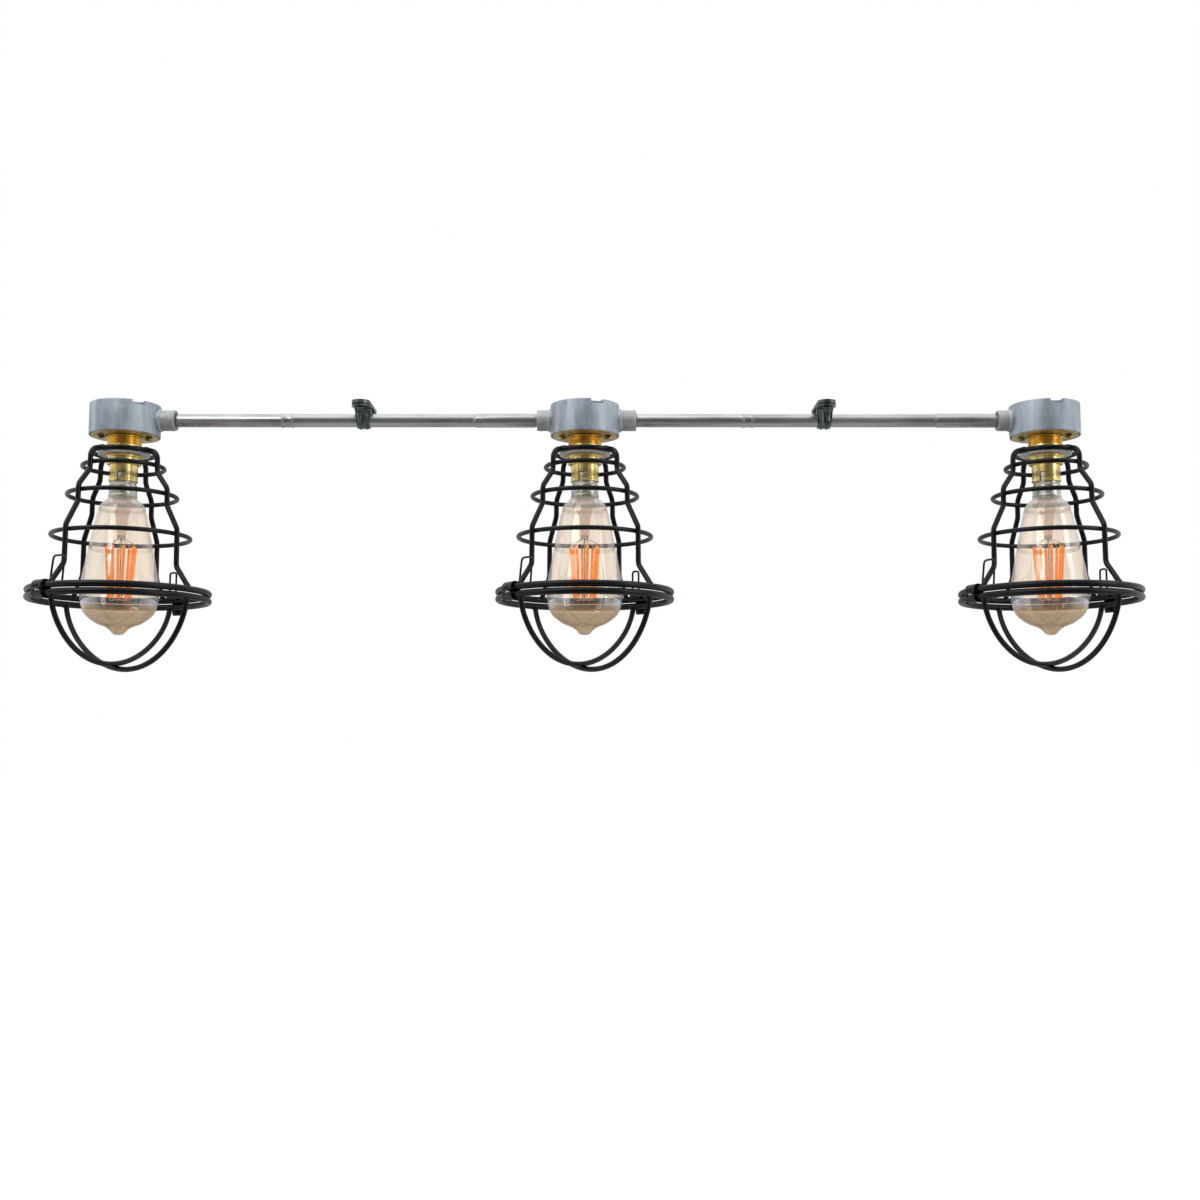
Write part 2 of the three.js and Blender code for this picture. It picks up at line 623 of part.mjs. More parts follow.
const shapes = {
  coverPlate: facingOut(coverPlate()),
  screw: facingOut(screwGeometry()),
  lampholder: toGeometry(lampholder()),
  core: toGeometry(insulatorCore()),
  plunger: facingOut(plungerGeometry()),
  shadeRing: facingOut(shadeRingGeometry()),
  clampRing: facingOut(clampRingGeometry()),
  cage: toGeometry(cageFrame()),
  door: toGeometry(cageDoor()),
  clip: toGeometry(hingeClip()),
  latch: toGeometry(latchGeometry()),
  glass: facingOut(bulbGlass()),
  cap: toGeometry(bulbCap()),
  mount: toGeometry(bulbMount()),
};

lamps.forEach((lamp) => {
  const { name } = lamp;
  addMesh(group, `${name}_conduit_box`, toGeometry(conduitBox(lamp)), galvanised, lamp.x);
  const head = new THREE.Group();
  head.position.x = lamp.x;
  head.rotation.z = lamp.turn * degree;
  group.add(head);
  addMesh(head, `${name}_cover_plate`, shapes.coverPlate, brass);
  addMesh(head, `${name}_plate_screw_a`, shapes.screw, brass, -lug.offset);
  addMesh(head, `${name}_plate_screw_b`, shapes.screw, brass, lug.offset);
  addMesh(head, `${name}_lampholder`, shapes.lampholder, brass);
  addMesh(head, `${name}_insulator_core`, shapes.core, insulator);
  ['a', 'b'].forEach((letter, k) => {
    const at = polar(plunger.offset, contactAzimuth + 180 * k, 0);
    addMesh(head, `${name}_contact_plunger_${letter}`, shapes.plunger, brass, at.x, at.y);
  });
  addMesh(head, `${name}_shade_ring`, shapes.shadeRing, whitePlastic);
  addMesh(head, `${name}_clamp_ring`, shapes.clampRing, brass);
  addMesh(head, `${name}_cage_frame`, shapes.cage, blackWire);
  addMesh(head, `${name}_cage_door`, shapes.door, blackWire);
  addMesh(head, `${name}_hinge_clip`, shapes.clip, blackWire);
  addMesh(head, `${name}_latch`, shapes.latch, blackWire);
  addMesh(head, `${name}_bulb_cap`, shapes.cap, capSteel);
  addMesh(head, `${name}_bulb_glass`, shapes.glass, amberGlass);
  addMesh(head, `${name}_bulb_mount`, shapes.mount, filamentOrange);
});

['left', 'right'].forEach((name, k) => {
  const x = lamps[k].x;
  addMesh(group, `${name}_conduit`, facingOut(conduitTube()), conduitSteel, x);
  addMesh(group, `${name}_wire_bundle`, toGeometry(wireBundle()), cableGrey, x);
  addMesh(group, `${name}_saddle_base`, toGeometry(saddleBase()), darkSaddle, x + saddle.shift);
  addMesh(group, `${name}_saddle_strap`, toGeometry(saddleStrap()), darkSaddle, x + saddle.shift);
});

export default group;
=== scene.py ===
from math import atan2, cos, degrees, hypot, pi, radians, sin, sqrt, tan

import bmesh
import bpy
from mathutils import Matrix, Vector


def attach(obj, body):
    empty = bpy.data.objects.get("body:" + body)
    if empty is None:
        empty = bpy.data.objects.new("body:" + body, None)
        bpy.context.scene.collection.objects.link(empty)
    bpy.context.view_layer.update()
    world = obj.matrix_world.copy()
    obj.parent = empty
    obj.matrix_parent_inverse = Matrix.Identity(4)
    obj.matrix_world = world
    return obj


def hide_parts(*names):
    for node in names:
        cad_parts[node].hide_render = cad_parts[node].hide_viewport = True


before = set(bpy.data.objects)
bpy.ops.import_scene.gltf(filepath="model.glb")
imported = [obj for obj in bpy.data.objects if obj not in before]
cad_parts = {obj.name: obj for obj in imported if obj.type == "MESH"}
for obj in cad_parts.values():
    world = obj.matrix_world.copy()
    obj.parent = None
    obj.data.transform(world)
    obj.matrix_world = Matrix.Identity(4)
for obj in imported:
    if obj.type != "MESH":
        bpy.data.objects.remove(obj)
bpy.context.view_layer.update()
scene = bpy.context.scene
print("frame loaded:", len(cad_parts), "solids")

# Lengths are millimetres here and become metres when a piece is put in its place.
# Angles are degrees, counted from +X towards +Y, and each lamp head is turned a little on its box.
lampPitch = 408
headTurn = 18
lamps = [
    {"name": "left", "x": -lampPitch, "turn": headTurn, "spouts": [1]},
    {"name": "centre", "x": 0, "turn": 0, "spouts": [-1, 1]},
    {"name": "right", "x": lampPitch, "turn": -headTurn, "spouts": [-1]},
]
runs = [{"name": "left", "x": -lampPitch, "turn": 0}, {"name": "right", "x": 0, "turn": 0}]
axisZ = -13.5  # the conduit's axis below the ceiling
toMetres = Matrix.Scale(0.001, 4)
fullTurn = 2 * pi


# Node work: a socket that takes part in sums, and a bench that adds nodes to one tree.

class Socket:
    def __init__(self, bench, output):
        self.bench = bench
        self.output = output

    def sum(self, operation, first, second):
        return self.bench.add("ShaderNodeMath", {"operation": operation}, {0: first, 1: second})


for symbol, operation in (("add", "ADD"), ("sub", "SUBTRACT"), ("mul", "MULTIPLY"), ("pow", "POWER")):
    setattr(Socket, f"__{symbol}__", lambda self, other, kind=operation: self.sum(kind, self, other))
    setattr(Socket, f"__r{symbol}__", lambda self, other, kind=operation: self.sum(kind, other, self))


class Bench:
    def __init__(self, tree):
        self.tree = tree
        tree.nodes.clear()

    def add(self, kind, settings=None, inputs=None, output=0):
        node = self.tree.nodes.new(kind)
        for key, value in (settings or {}).items():
            setattr(node, key, value)
        for key, value in (inputs or {}).items():
            if isinstance(value, Socket):
                self.tree.links.new(value.output, node.inputs[key])
            else:
                node.inputs[key].default_value = value
        return Socket(self, node.outputs[output])

    def coordinates(self, stretch=(1, 1, 1)):
        place = self.add("ShaderNodeTexCoord", output="Object")
        if stretch == (1, 1, 1):
            return place
        return self.add("ShaderNodeMapping", {}, {"Vector": place, "Scale": stretch})

    def noise(self, scale, detail, roughness, stretch=(1, 1, 1)):
        return self.add("ShaderNodeTexNoise", {}, {
            "Vector": self.coordinates(stretch), "Scale": scale, "Detail": detail, "Roughness": roughness})

    def cells(self, scale):
        cell = self.add("ShaderNodeTexVoronoi", {}, {"Vector": self.coordinates(), "Scale": scale}, "Color")
        return self.add("ShaderNodeRGBToBW", {}, {0: cell})

    def height(self):
        return self.add("ShaderNodeSeparateXYZ", {}, {"Vector": self.coordinates()}, "Z")

    # rises smoothly from 0 to 1 as the value goes from low to high
    def between(self, value, low, high):
        return self.add("ShaderNodeMapRange", {"interpolation_type": "SMOOTHSTEP"}, {
            "Value": value, "From Min": low, "From Max": high})

    def mix(self, factor, first, second):
        return self.add("ShaderNodeMix", {"data_type": "RGBA"}, {0: factor, 6: first, 7: second}, 2)

    def bump(self, height, distance, strength):
        return self.add("ShaderNodeBump", {}, {"Height": height, "Distance": distance, "Strength": strength})


# a colour as it looks on a screen, from 0 to 1, turned into the shader's own scale
def shade(red, green, blue):
    return tuple(((part + 0.055) / 1.055) ** 2.4 for part in (red, green, blue)) + (1.0,)


def newBench(name):
    material = bpy.data.materials.new(name)
    material.use_nodes = True
    bench = Bench(material.node_tree)
    bench.material = material
    return bench


def finishWith(bench, surface):
    output = bench.tree.nodes.new("ShaderNodeOutputMaterial")
    bench.tree.links.new(surface.output, output.inputs["Surface"])
    return bench.material


def surfaceOf(bench, **sockets):
    names = {key.replace("_", " "): value for key, value in sockets.items()}
    return bench.add("ShaderNodeBsdfPrincipled", {}, names)


def painted(bench, **sockets):
    return finishWith(bench, surfaceOf(bench, **sockets))


# lets light straight through its tint, except for the share that meets the surface
def seeThrough(bench, factor, tint, surface):
    clear = bench.add("ShaderNodeBsdfTransparent", {}, {"Color": tint})
    return finishWith(bench, bench.add("ShaderNodeMixShader", {}, {0: factor, 1: clear, 2: surface}))


# Finishes

def galvanised():
    look = {"light": shade(0.72, 0.75, 0.78), "dark": shade(0.53, 0.56, 0.60), "spangle": 170, "streak": 90}
    bench = newBench("galvanisedCasting")
    grey = bench.cells(look["spangle"])
    streaks = bench.noise(look["streak"], 4, 0.55, (1, 1, 0.16))
    grain = bench.noise(900, 3, 0.6)
    patch = grey * 0.32 + bench.between(streaks, 0.35, 0.68) * 0.68
    base = bench.mix(patch, look["dark"], look["light"])
    rough = 0.40 + 0.16 * grain + 0.08 * grey
    relief = bench.noise(260, 4, 0.55) * 0.7 + grain * 0.3
    return painted(bench, Base_Color=base, Metallic=0.62, Roughness=rough,
                   Normal=bench.bump(relief, 0.0006, 0.35))


def spoutCasting():
    look = {"light": shade(0.69, 0.695, 0.69), "dark": shade(0.59, 0.595, 0.59)}
    bench = newBench("spoutCasting")
    patches = bench.noise(240, 5, 0.65)
    grain = bench.noise(1300, 3, 0.6)
    base = bench.mix(bench.between(patches, 0.35, 0.66), look["dark"], look["light"])
    return painted(bench, Base_Color=base, Metallic=0.55, Roughness=0.46 + 0.2 * grain,
                   Normal=bench.bump(patches * 0.6 + grain * 0.4, 0.0006, 0.5))


def conduitSteel():
    look = {"light": shade(0.70, 0.70, 0.705), "dark": shade(0.55, 0.553, 0.556)}
    bench = newBench("conduitSteel")
    drawn = bench.noise(700, 4, 0.6, (0.03, 1, 1))
    cloud = bench.noise(60, 3, 0.5, (0.4, 1, 1))
    flakes = bench.cells(320)
    base = bench.mix(bench.between(drawn * 0.6 + cloud * 0.35 + flakes * 0.05, 0.32, 0.66),
                     look["dark"], look["light"])
    return painted(bench, Base_Color=base, Metallic=0.9, Roughness=0.16 + 0.2 * cloud,
                   Normal=bench.bump(drawn, 0.0002, 0.25))


def brass(name, light, dark, roughness, grooves=0.4, metal=1.0):
    bench = newBench(name)
    tarnish = bench.noise(95, 4, 0.6)
    turning = bench.noise(1500, 2, 0.5, (0.04, 0.04, 1))
    spots = bench.between(bench.noise(520, 3, 0.6), 0.62, 0.75)
    base = bench.mix(bench.between(tarnish, 0.35, 0.68), light, dark)
    aged = bench.mix(spots * 0.45, base, shade(0.36, 0.25, 0.12))
    rough = roughness + 0.16 * bench.between(tarnish, 0.3, 0.7) + 0.2 * spots
    return painted(bench, Base_Color=aged, Metallic=metal, Roughness=rough,
                   Normal=bench.bump(turning, 0.00012, grooves))


def whitePlastic():
    look = {"light": shade(0.90, 0.90, 0.88), "dark": shade(0.80, 0.79, 0.76)}
    bench = newBench("whitePlastic")
    cloud = bench.noise(120, 3, 0.5)
    fine = bench.noise(1400, 2, 0.5)
    base = bench.mix(bench.between(cloud, 0.35, 0.7), look["light"], look["dark"])
    return painted(bench, Base_Color=base, Roughness=0.34 + 0.14 * fine,
                   Subsurface_Weight=0.25, Subsurface_Scale=0.004,
                   Normal=bench.bump(fine, 0.0001, 0.2))


def blackCoat(name, light, dark):
    bench = newBench(name)
    cloud = bench.noise(140, 3, 0.55)
    peel = bench.noise(800, 2, 0.5)
    scuff = bench.between(bench.noise(330, 5, 0.7), 0.63, 0.74)
    base = bench.mix(bench.between(cloud, 0.35, 0.65), dark, light)
    worn = bench.mix(scuff * 0.35, base, shade(0.10, 0.10, 0.125))
    rough = 0.24 + 0.16 * cloud + 0.16 * scuff
    return painted(bench, Base_Color=worn, Roughness=rough, Specular_IOR_Level=0.17, Coat_Weight=0.08,
                   Coat_Roughness=0.12, Normal=bench.bump(peel, 0.00015, 0.3))


def capMetal():
    look = {"light": shade(0.80, 0.79, 0.76), "dark": shade(0.56, 0.54, 0.46)}
    bench = newBench("capMetal")
    tarnish = bench.noise(210, 4, 0.6)
    turning = bench.noise(1600, 2, 0.5, (0.05, 0.05, 1))
    base = bench.mix(bench.between(tarnish, 0.36, 0.68), look["light"], look["dark"])
    return painted(bench, Base_Color=base, Metallic=0.95, Roughness=0.24 + 0.2 * tarnish,
                   Normal=bench.bump(turning, 0.00012, 0.4))


def insulatorPlastic(name, light, dark):
    bench = newBench(name)
    cloud = bench.noise(260, 4, 0.6)
    fine = bench.noise(1800, 2, 0.5)
    base = bench.mix(bench.between(cloud, 0.35, 0.68), light, dark)
    return painted(bench, Base_Color=base, Roughness=0.42 + 0.2 * fine,
                   Normal=bench.bump(fine, 0.0001, 0.3))


# Thin coated glass: the light goes straight through its tint, and a film of amber lustre mirrors the room,
# more at the edges and in the lower bowl.
# The bowl's tan is partly the deeper amber there and partly painted reflection of the room, the pale blue
# band above it is a painted highlight, and the upright streaks of lustre are painted reflection.
def amberGlass():
    look = {"tint": shade(0.992, 0.976, 0.955), "film": shade(0.97, 0.95, 0.95),
            "bowl": shade(0.80, 0.68, 0.49), "highlightBand": shade(0.90, 0.93, 0.99), "milk": shade(0.93, 0.92, 0.90)}
    bench = newBench("amberGlass")
    z = bench.height()
    # the lower bowl: painted tan, partly its deeper amber and partly painted reflection of the room
    bowl = bench.between(z, -0.176, -0.184)
    # painted highlight: a pale blue band of lustre just above the bowl, strongest towards the edges
    highlightBand = bench.between(z, -0.158, -0.168) * (1 - bowl)
    milk = bench.between(z, -0.104, -0.086)
    cloud = bench.noise(45, 3, 0.5)
    facing = bench.add("ShaderNodeLayerWeight", {}, {"Blend": 0.32}, "Facing")
    upper = bench.mix(milk, look["film"], look["milk"])
    film = bench.mix(bowl, bench.mix(highlightBand, upper, look["highlightBand"]), look["bowl"])
    # painted reflection: upright streaks of lustre stand in for the room's dark shapes mirrored in the glass
    streak = bench.between(bench.noise(75, 3, 0.55, (1, 1, 0.22)), 0.46, 0.68)
    factor = (0.03 + 0.62 * facing ** 1.9 + 0.26 * bowl + 0.14 * milk + 0.02 * cloud + 0.1 * streak
              + 0.4 * highlightBand * facing)
    lustre = surfaceOf(bench, Base_Color=film, Metallic=0.7 - 0.45 * bowl - 0.4 * milk,
                       Roughness=0.03 + 0.2 * bowl + 0.25 * milk, Coat_Weight=0.6, Coat_Roughness=0.02)
    return seeThrough(bench, factor, look["tint"], lustre)


def stemGlass():
    look = {"tint": shade(0.97, 0.94, 0.92), "body": shade(0.94, 0.90, 0.88), "spot": shade(0.76, 0.66, 0.62)}
    bench = newBench("stemGlass")
    mottle = bench.noise(620, 5, 0.75)
    streak = bench.noise(300, 3, 0.6, (1, 1, 0.2))
    spots = bench.between(mottle, 0.52, 0.64)
    body = bench.mix(spots, look["body"], look["spot"])
    factor = 0.14 + 0.26 * spots + 0.12 * streak
    frosted = surfaceOf(bench, Base_Color=body, Roughness=0.25 + 0.2 * streak)
    return seeThrough(bench, factor, look["tint"], frosted)


def filamentCoat():
    look = {"light": shade(0.97, 0.63, 0.27), "dark": shade(0.90, 0.49, 0.15)}
    bench = newBench("filamentCoat")
    grain = bench.noise(1500, 4, 0.7)
    beads = bench.noise(700, 2, 0.5, (0.3, 0.3, 1))
    base = bench.mix(bench.between(grain * 0.5 + beads * 0.5, 0.38, 0.62), look["dark"], look["light"])
    # a faint glow in the coating's own colour is painted on (painted light), brightening the filaments
    return painted(bench, Base_Color=base, Roughness=0.45 + 0.2 * grain, Emission_Color=base,
                   Emission_Strength=0.42, Normal=bench.bump(beads, 0.0002, 0.4))


def darkSaddle():
    look = {"light": shade(0.36, 0.41, 0.39), "dark": shade(0.15, 0.19, 0.18),
            "worn": shade(0.66, 0.70, 0.68)}
    bench = newBench("darkSaddle")
    cloud = bench.noise(230, 4, 0.6)
    scuff = bench.between(bench.noise(420, 5, 0.7), 0.6, 0.72)
    base = bench.mix(bench.between(cloud, 0.35, 0.68), look["dark"], look["light"])
    worn = bench.mix(scuff * 0.5, base, look["worn"])
    return painted(bench, Base_Color=worn, Metallic=0.6, Roughness=0.2 + 0.2 * cloud,
                   Coat_Weight=0.5, Coat_Roughness=0.1, Normal=bench.bump(cloud, 0.0004, 0.4))


finishes = {
    "box": galvanised(),
    "spout": spoutCasting(),
    "conduit": conduitSteel(),
    "plate": brass("plateBrass", shade(0.90, 0.83, 0.60), shade(0.80, 0.70, 0.44), 0.34, 0.3, 0.85),
    # the collar's brass is a deeper, more saturated copy of the sleeve's: painted light, standing in for
    # light bounced between the brass parts
    "collar": brass("collarBrassPaintedBounce", shade(0.96, 0.79, 0.40), shade(0.84, 0.63, 0.26), 0.18),
    "sleeve": brass("sleeveBrass", shade(0.97, 0.90, 0.62), shade(0.87, 0.75, 0.45), 0.16),
    "screw": brass("screwBrass", shade(0.88, 0.76, 0.50), shade(0.60, 0.46, 0.26), 0.24),
    "contact": brass("contactBrass", shade(0.90, 0.78, 0.50), shade(0.74, 0.60, 0.34), 0.25),
    "white": whitePlastic(),
    "wire": blackCoat("blackWire", shade(0.035, 0.035, 0.06), shade(0.015, 0.015, 0.03)),
    "sheet": blackCoat("blackSheet", shade(0.04, 0.04, 0.065), shade(0.02, 0.02, 0.035)),
    "cap": capMetal(),
    "glass": amberGlass(),
    "stem": stemGlass(),
    "filament": filamentCoat(),
    "saddle": darkSaddle(),
    "insulator": insulatorPlastic("insulatorPlastic", shade(0.20, 0.16, 0.14), shade(0.12, 0.10, 0.09)),
    "cable": insulatorPlastic("cableSheath", shade(0.60, 0.60, 0.61), shade(0.48, 0.48, 0.49)),
}
print("finishes:", len(finishes))


# Shape work, all in millimetres about the lamp's own axis

def polar(radius, azimuth, z):
    angle = radians(azimuth)
    return Vector((radius * cos(angle), radius * sin(angle), z))


def up(z):
    return Vector((0, 0, z))


def turnBy(azimuth):
    return Matrix.Rotation(radians(azimuth), 4, "Z")


def moved(x=0, y=0, z=0):
    return Matrix.Translation((x, y, z))


# lays a shape that stands along Z down along X
layDown = Matrix.Rotation(pi / 2, 4, "Y")


# a bend sharper than this is rounded, and a rounding takes up to this share of each side
leastBend = 0.04
longestCut = 0.48


# rounds the corners of a path; a closed one has a corner at its first point as well
def rounded(points, radius, steps=4, closed=False):
    path = [Vector(point) for point in points]
    result = []
    for k, corner in enumerate(path):
        if not closed and k in (0, len(path) - 1):
            result.append(corner)
            continue
        before = path[k - 1] - corner
        after = path[(k + 1) % len(path)] - corner
        bend = before.angle(after)
        if bend > pi - leastBend:
            result.append(corner)
            continue
        cut = min(radius / tan(bend / 2), longestCut * before.length, longestCut * after.length)
        start = corner + before.normalized() * cut
        end = corner + after.normalized() * cut
        for step in range(steps + 1):
            t = step / steps
            result.append(start * (1 - t) ** 2 + corner * 2 * t * (1 - t) + end * t ** 2)
    return result


# a smooth line through the points
def smoothLine(points, steps=8):
    path = [Vector(point) for point in points]
    path = [path[0] * 2 - path[1]] + path + [path[-1] * 2 - path[-2]]
    result = []
    for k in range(1, len(path) - 2):
        a, b, c, d = path[k - 1:k + 3]
        for step in range(steps):
            t = step / steps
            cubed = (3 * b - a - 3 * c + d) * t ** 3
            result.append(0.5 * (2 * b + (c - a) * t + (2 * a - 5 * b + 4 * c - d) * t ** 2 + cubed))
    return result + [path[-2]]


# points closer than this are one
sameSpot = 0.0005


def faceOut(bm):
    bmesh.ops.recalc_face_normals(bm, faces=bm.faces)


def settled(bm):
    bmesh.ops.remove_doubles(bm, verts=bm.verts, dist=sameSpot)
    faceOut(bm)
    return bm


def joinedLine(bm, places, closed=False):
    verts = [bm.verts.new(place) for place in places]
    edges = [bm.edges.new(pair) for pair in zip(verts, verts[1:])]
    if closed:
        edges.append(bm.edges.new((verts[-1], verts[0])))
    return verts, edges


# carries a row of edges on, and gives the new row's points and edges
def nextRow(bm, edges):
    more = bmesh.ops.extrude_edge_only(bm, edges=edges)["geom"]
    fresh = [item for item in more if isinstance(item, bmesh.types.BMVert)]
    return fresh, [item for item in more if isinstance(item, bmesh.types.BMEdge)
                   and all(vert in fresh for vert in item.verts)]


def spin(bm, parts, steps, angle=fullTurn, merge=True):
    bmesh.ops.spin(bm, geom=parts, cent=(0, 0, 0), axis=(0, 0, 1), angle=angle, steps=steps, use_merge=merge)


# a profile of (radius, height) turned about Z; a closed profile makes a ring or a tube
def turned(profile, steps=72, closed=False, corner=0.0, bends=3):
    points = rounded(profile, corner, bends, closed) if corner else profile
    bm = bmesh.new()
    verts, edges = joinedLine(bm, [(point[0], 0, point[1]) for point in points], closed)
    spin(bm, verts + edges, steps)
    return settled(bm)


def wireRing(radius, z, wire, steps=96, sides=14):
    bm = bmesh.new()
    upright = moved(radius, 0, z) @ Matrix.Rotation(pi / 2, 4, "X")
    bmesh.ops.create_circle(bm, cap_ends=False, radius=wire, segments=sides, matrix=upright)
    spin(bm, bm.verts[:] + bm.edges[:], steps)
    return settled(bm)


def bentWire(path, wire, sides=4):
    line = bpy.data.curves.new("bentWire", "CURVE")
    line.dimensions = "3D"
    line.bevel_depth = wire
    line.bevel_resolution = sides
    line.use_fill_caps = True
    spline = line.splines.new("POLY")
    spline.points.add(len(path) - 1)
    for point, place in zip(spline.points, path):
        point.co = (*place, 1)
    holder = bpy.data.objects.new("bentWire", line)
    mesh = bpy.data.meshes.new_from_object(holder)
    bm = bmesh.new()
    bm.from_mesh(mesh)
    bpy.data.objects.remove(holder)
    bpy.data.curves.remove(line)
    bpy.data.meshes.remove(mesh)
    return settled(bm)


def block(size, place):
    bm = bmesh.new()
    bmesh.ops.create_cube(bm, size=1, matrix=place @ Matrix.Diagonal((*size, 1)))
    return bm


def drum(radius, bottom, top, x=0, y=0, sides=32):
    bm = bmesh.new()
    bmesh.ops.create_cone(bm, cap_ends=True, segments=sides, radius1=radius, radius2=radius,
                          depth=top - bottom, matrix=moved(x, y, (bottom + top) / 2))
    return bm


def bead(place, size):
    bm = bmesh.new()
    bmesh.ops.create_icosphere(bm, subdivisions=2, radius=1, matrix=place @ Matrix.Diagonal((*size, 1)))
    return bm


# a slice of a thick tube between two azimuths
def wedge(inner, outer, bottom, top, start, end, steps=8):
    bm = bmesh.new()
    corners = [(inner, bottom), (outer, bottom), (outer, top), (inner, top)]
    verts = [bm.verts.new(polar(radius, start, z)) for radius, z in corners]
    edges = [bm.edges.new((verts[k - 1], verts[k])) for k in range(4)]
    spin(bm, verts + edges, steps, radians(end - start), False)
    bmesh.ops.holes_fill(bm, edges=bm.edges, sides=4)
    return settled(bm)


def softenEdges(bm, width):
    bmesh.ops.bevel(bm, geom=bm.edges[:], offset=width, segments=2, profile=0.5, affect="EDGES", material=-1,
                    clamp_overlap=True)
    return bm


def meshOf(bm, name):
    mesh = bpy.data.meshes.new(name)
    bm.to_mesh(mesh)
    bm.free()
    return mesh


def newObject(name, data):
    made = bpy.data.objects.new(name, data)
    scene.collection.objects.link(made)
    return made


def together(parts):
    whole = bmesh.new()
    for part in parts:
        mesh = meshOf(part, "part")
        whole.from_mesh(mesh)
        bpy.data.meshes.remove(mesh)
    return whole


# joins solids to the first one or cuts them out of it
def combined(bm, tools, operation):
    base, *held = [newObject("held", meshOf(each, "held")) for each in (bm, *tools)]
    for tool in held:
        step = base.modifiers.new("step", "BOOLEAN")
        step.operation = operation
        step.solver = "MANIFOLD"
        step.object = tool
    bpy.context.view_layer.update()
    mesh = bpy.data.meshes.new_from_object(base.evaluated_get(bpy.context.evaluated_depsgraph_get()))
    result = bmesh.new()
    result.from_mesh(mesh)
    bpy.data.meshes.remove(mesh)
    for each in [base, *held]:
        data = each.data
        bpy.data.objects.remove(each)
        bpy.data.meshes.remove(data)
    bmesh.ops.remove_doubles(result, verts=result.verts, dist=sameSpot)
    bmesh.ops.dissolve_degenerate(result, edges=result.edges, dist=sameSpot)
    return result


# faces that meet at more than this many degrees keep a sharp edge
creaseAngle = 38


# Puts a shape in its place in a lamp or a run, as a piece that rides on a body and may stand for a solid.
# The names follow that of the lamp or run. Faces picked by second, in metres, have the second look.
def addPiece(group, name, bm, looks, solid=None, body="fixture", shift=(0, 0, 0), second=None):
    prefix = group["name"] + "_"
    place = moved(group["x"]) @ turnBy(group["turn"]) @ moved(*shift)
    bm.transform(toMetres @ place)
    for face in bm.faces:
        face.smooth = True
        if second and second(face.calc_center_median()):
            face.material_index = 1
    for edge in bm.edges:
        if len(edge.link_faces) == 2 and edge.calc_face_angle() > radians(creaseAngle):
            edge.smooth = False
    mesh = meshOf(bm, prefix + name)
    for look in looks.split():
        mesh.materials.append(finishes[look])
    piece = newObject(prefix + name, mesh)
    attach(piece, body if body == "fixture" else prefix + body)
    if solid:
        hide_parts(prefix + solid)


# a solid that shows as it is, with its own finish
def keepNode(group, name, look):
    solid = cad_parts[f"{group['name']}_{name}"]
    for k in range(len(solid.material_slots)):
        solid.material_slots[k].material = finishes[look]


# Conduit boxes

box = {"radius": 30.5, "depth": 28, "wall": 3.6, "back": 3.2, "round": 0.8, "rebate": 29.2, "seat": -26,
       "holeOffset": 14, "holeRadius": 2.6, "lugOffset": 20.2, "lugRadius": 4, "lugTop": -19.5,
       "lugBottom": -26, "lugHole": 2, "web": (8, 7, 6.4), "webOffset": 24.5, "webZ": -22.75}
cableNotch = {"azimuth": -68, "width": 11.5, "depth": 4, "length": 14, "offset": 28, "round": 0.7}
# the spout's paint starts at finishFrom, just outside the cup
spout = {"radius": 9.2, "reach": {1: 45.5, -1: 42.5}, "socket": 6.1, "socketDepth": 12, "throat": 4.8,
         "mouth": 7.4, "mouthDepth": 1.4, "boreFrom": 20, "root": 10.4, "rootEdge": 10.2, "rootEnd": 31.6,
         "neck": 33, "round": 1.1, "finishFrom": 30.9}


def conduitBox(lamp):
    inside = box["radius"] - box["wall"]
    cup = turned([(0, 0), (box["radius"], 0), (box["radius"], -box["depth"]), (box["rebate"], -box["depth"]),
                  (box["rebate"], box["seat"]), (inside, box["seat"]), (inside, -box["back"]),
                  (0, -box["back"])], 120, corner=box["round"])
    joins, cuts = [], []
    for side in lamp["spouts"]:
        reach = spout["reach"][side]
        along = moved(z=axisZ) @ Matrix.Rotation(side * pi / 2, 4, "Y")
        step = reach - spout["socketDepth"]
        body = turned([(0, inside + 0.4), (spout["root"], inside + 0.4),
                       (spout["rootEdge"], spout["rootEnd"]), (spout["radius"], spout["neck"]),
                       (spout["radius"], reach), (0, reach)], 64, corner=spout["round"])
        bore = turned([(0, spout["boreFrom"]), (spout["throat"], spout["boreFrom"]), (spout["throat"], step),
                       (spout["socket"], step), (spout["socket"], reach - spout["mouthDepth"]),
                       (spout["mouth"], reach + 0.2), (spout["mouth"], reach + 2), (0, reach + 2)], 64)
        body.transform(along)
        bore.transform(along)
        joins.append(body)
        cuts.append(bore)
    for side in (-1, 1):
        at = polar(side * box["lugOffset"], lamp["turn"], 0)
        joins.append(drum(box["lugRadius"], box["lugBottom"], box["lugTop"], at.x, at.y))
        web = moved(z=box["webZ"]) @ turnBy(lamp["turn"]) @ moved(side * box["webOffset"])
        joins.append(block(box["web"], web))
        cuts.append(drum(box["lugHole"], box["lugBottom"] - 1, box["lugTop"] + 1, at.x, at.y, 20))
        cuts.append(drum(box["holeRadius"], -box["back"] - 1, 1, 0, side * box["holeOffset"], 24))
    for half in (0, 180):
        place = turnBy(cableNotch["azimuth"] + lamp["turn"] + half) @ moved(cableNotch["offset"])
        notch = block((cableNotch["length"], cableNotch["width"], 2 * cableNotch["depth"]), place)
        cuts.append(softenEdges(notch, cableNotch["round"]))
    return combined(combined(cup, joins, "UNION"), cuts, "DIFFERENCE")


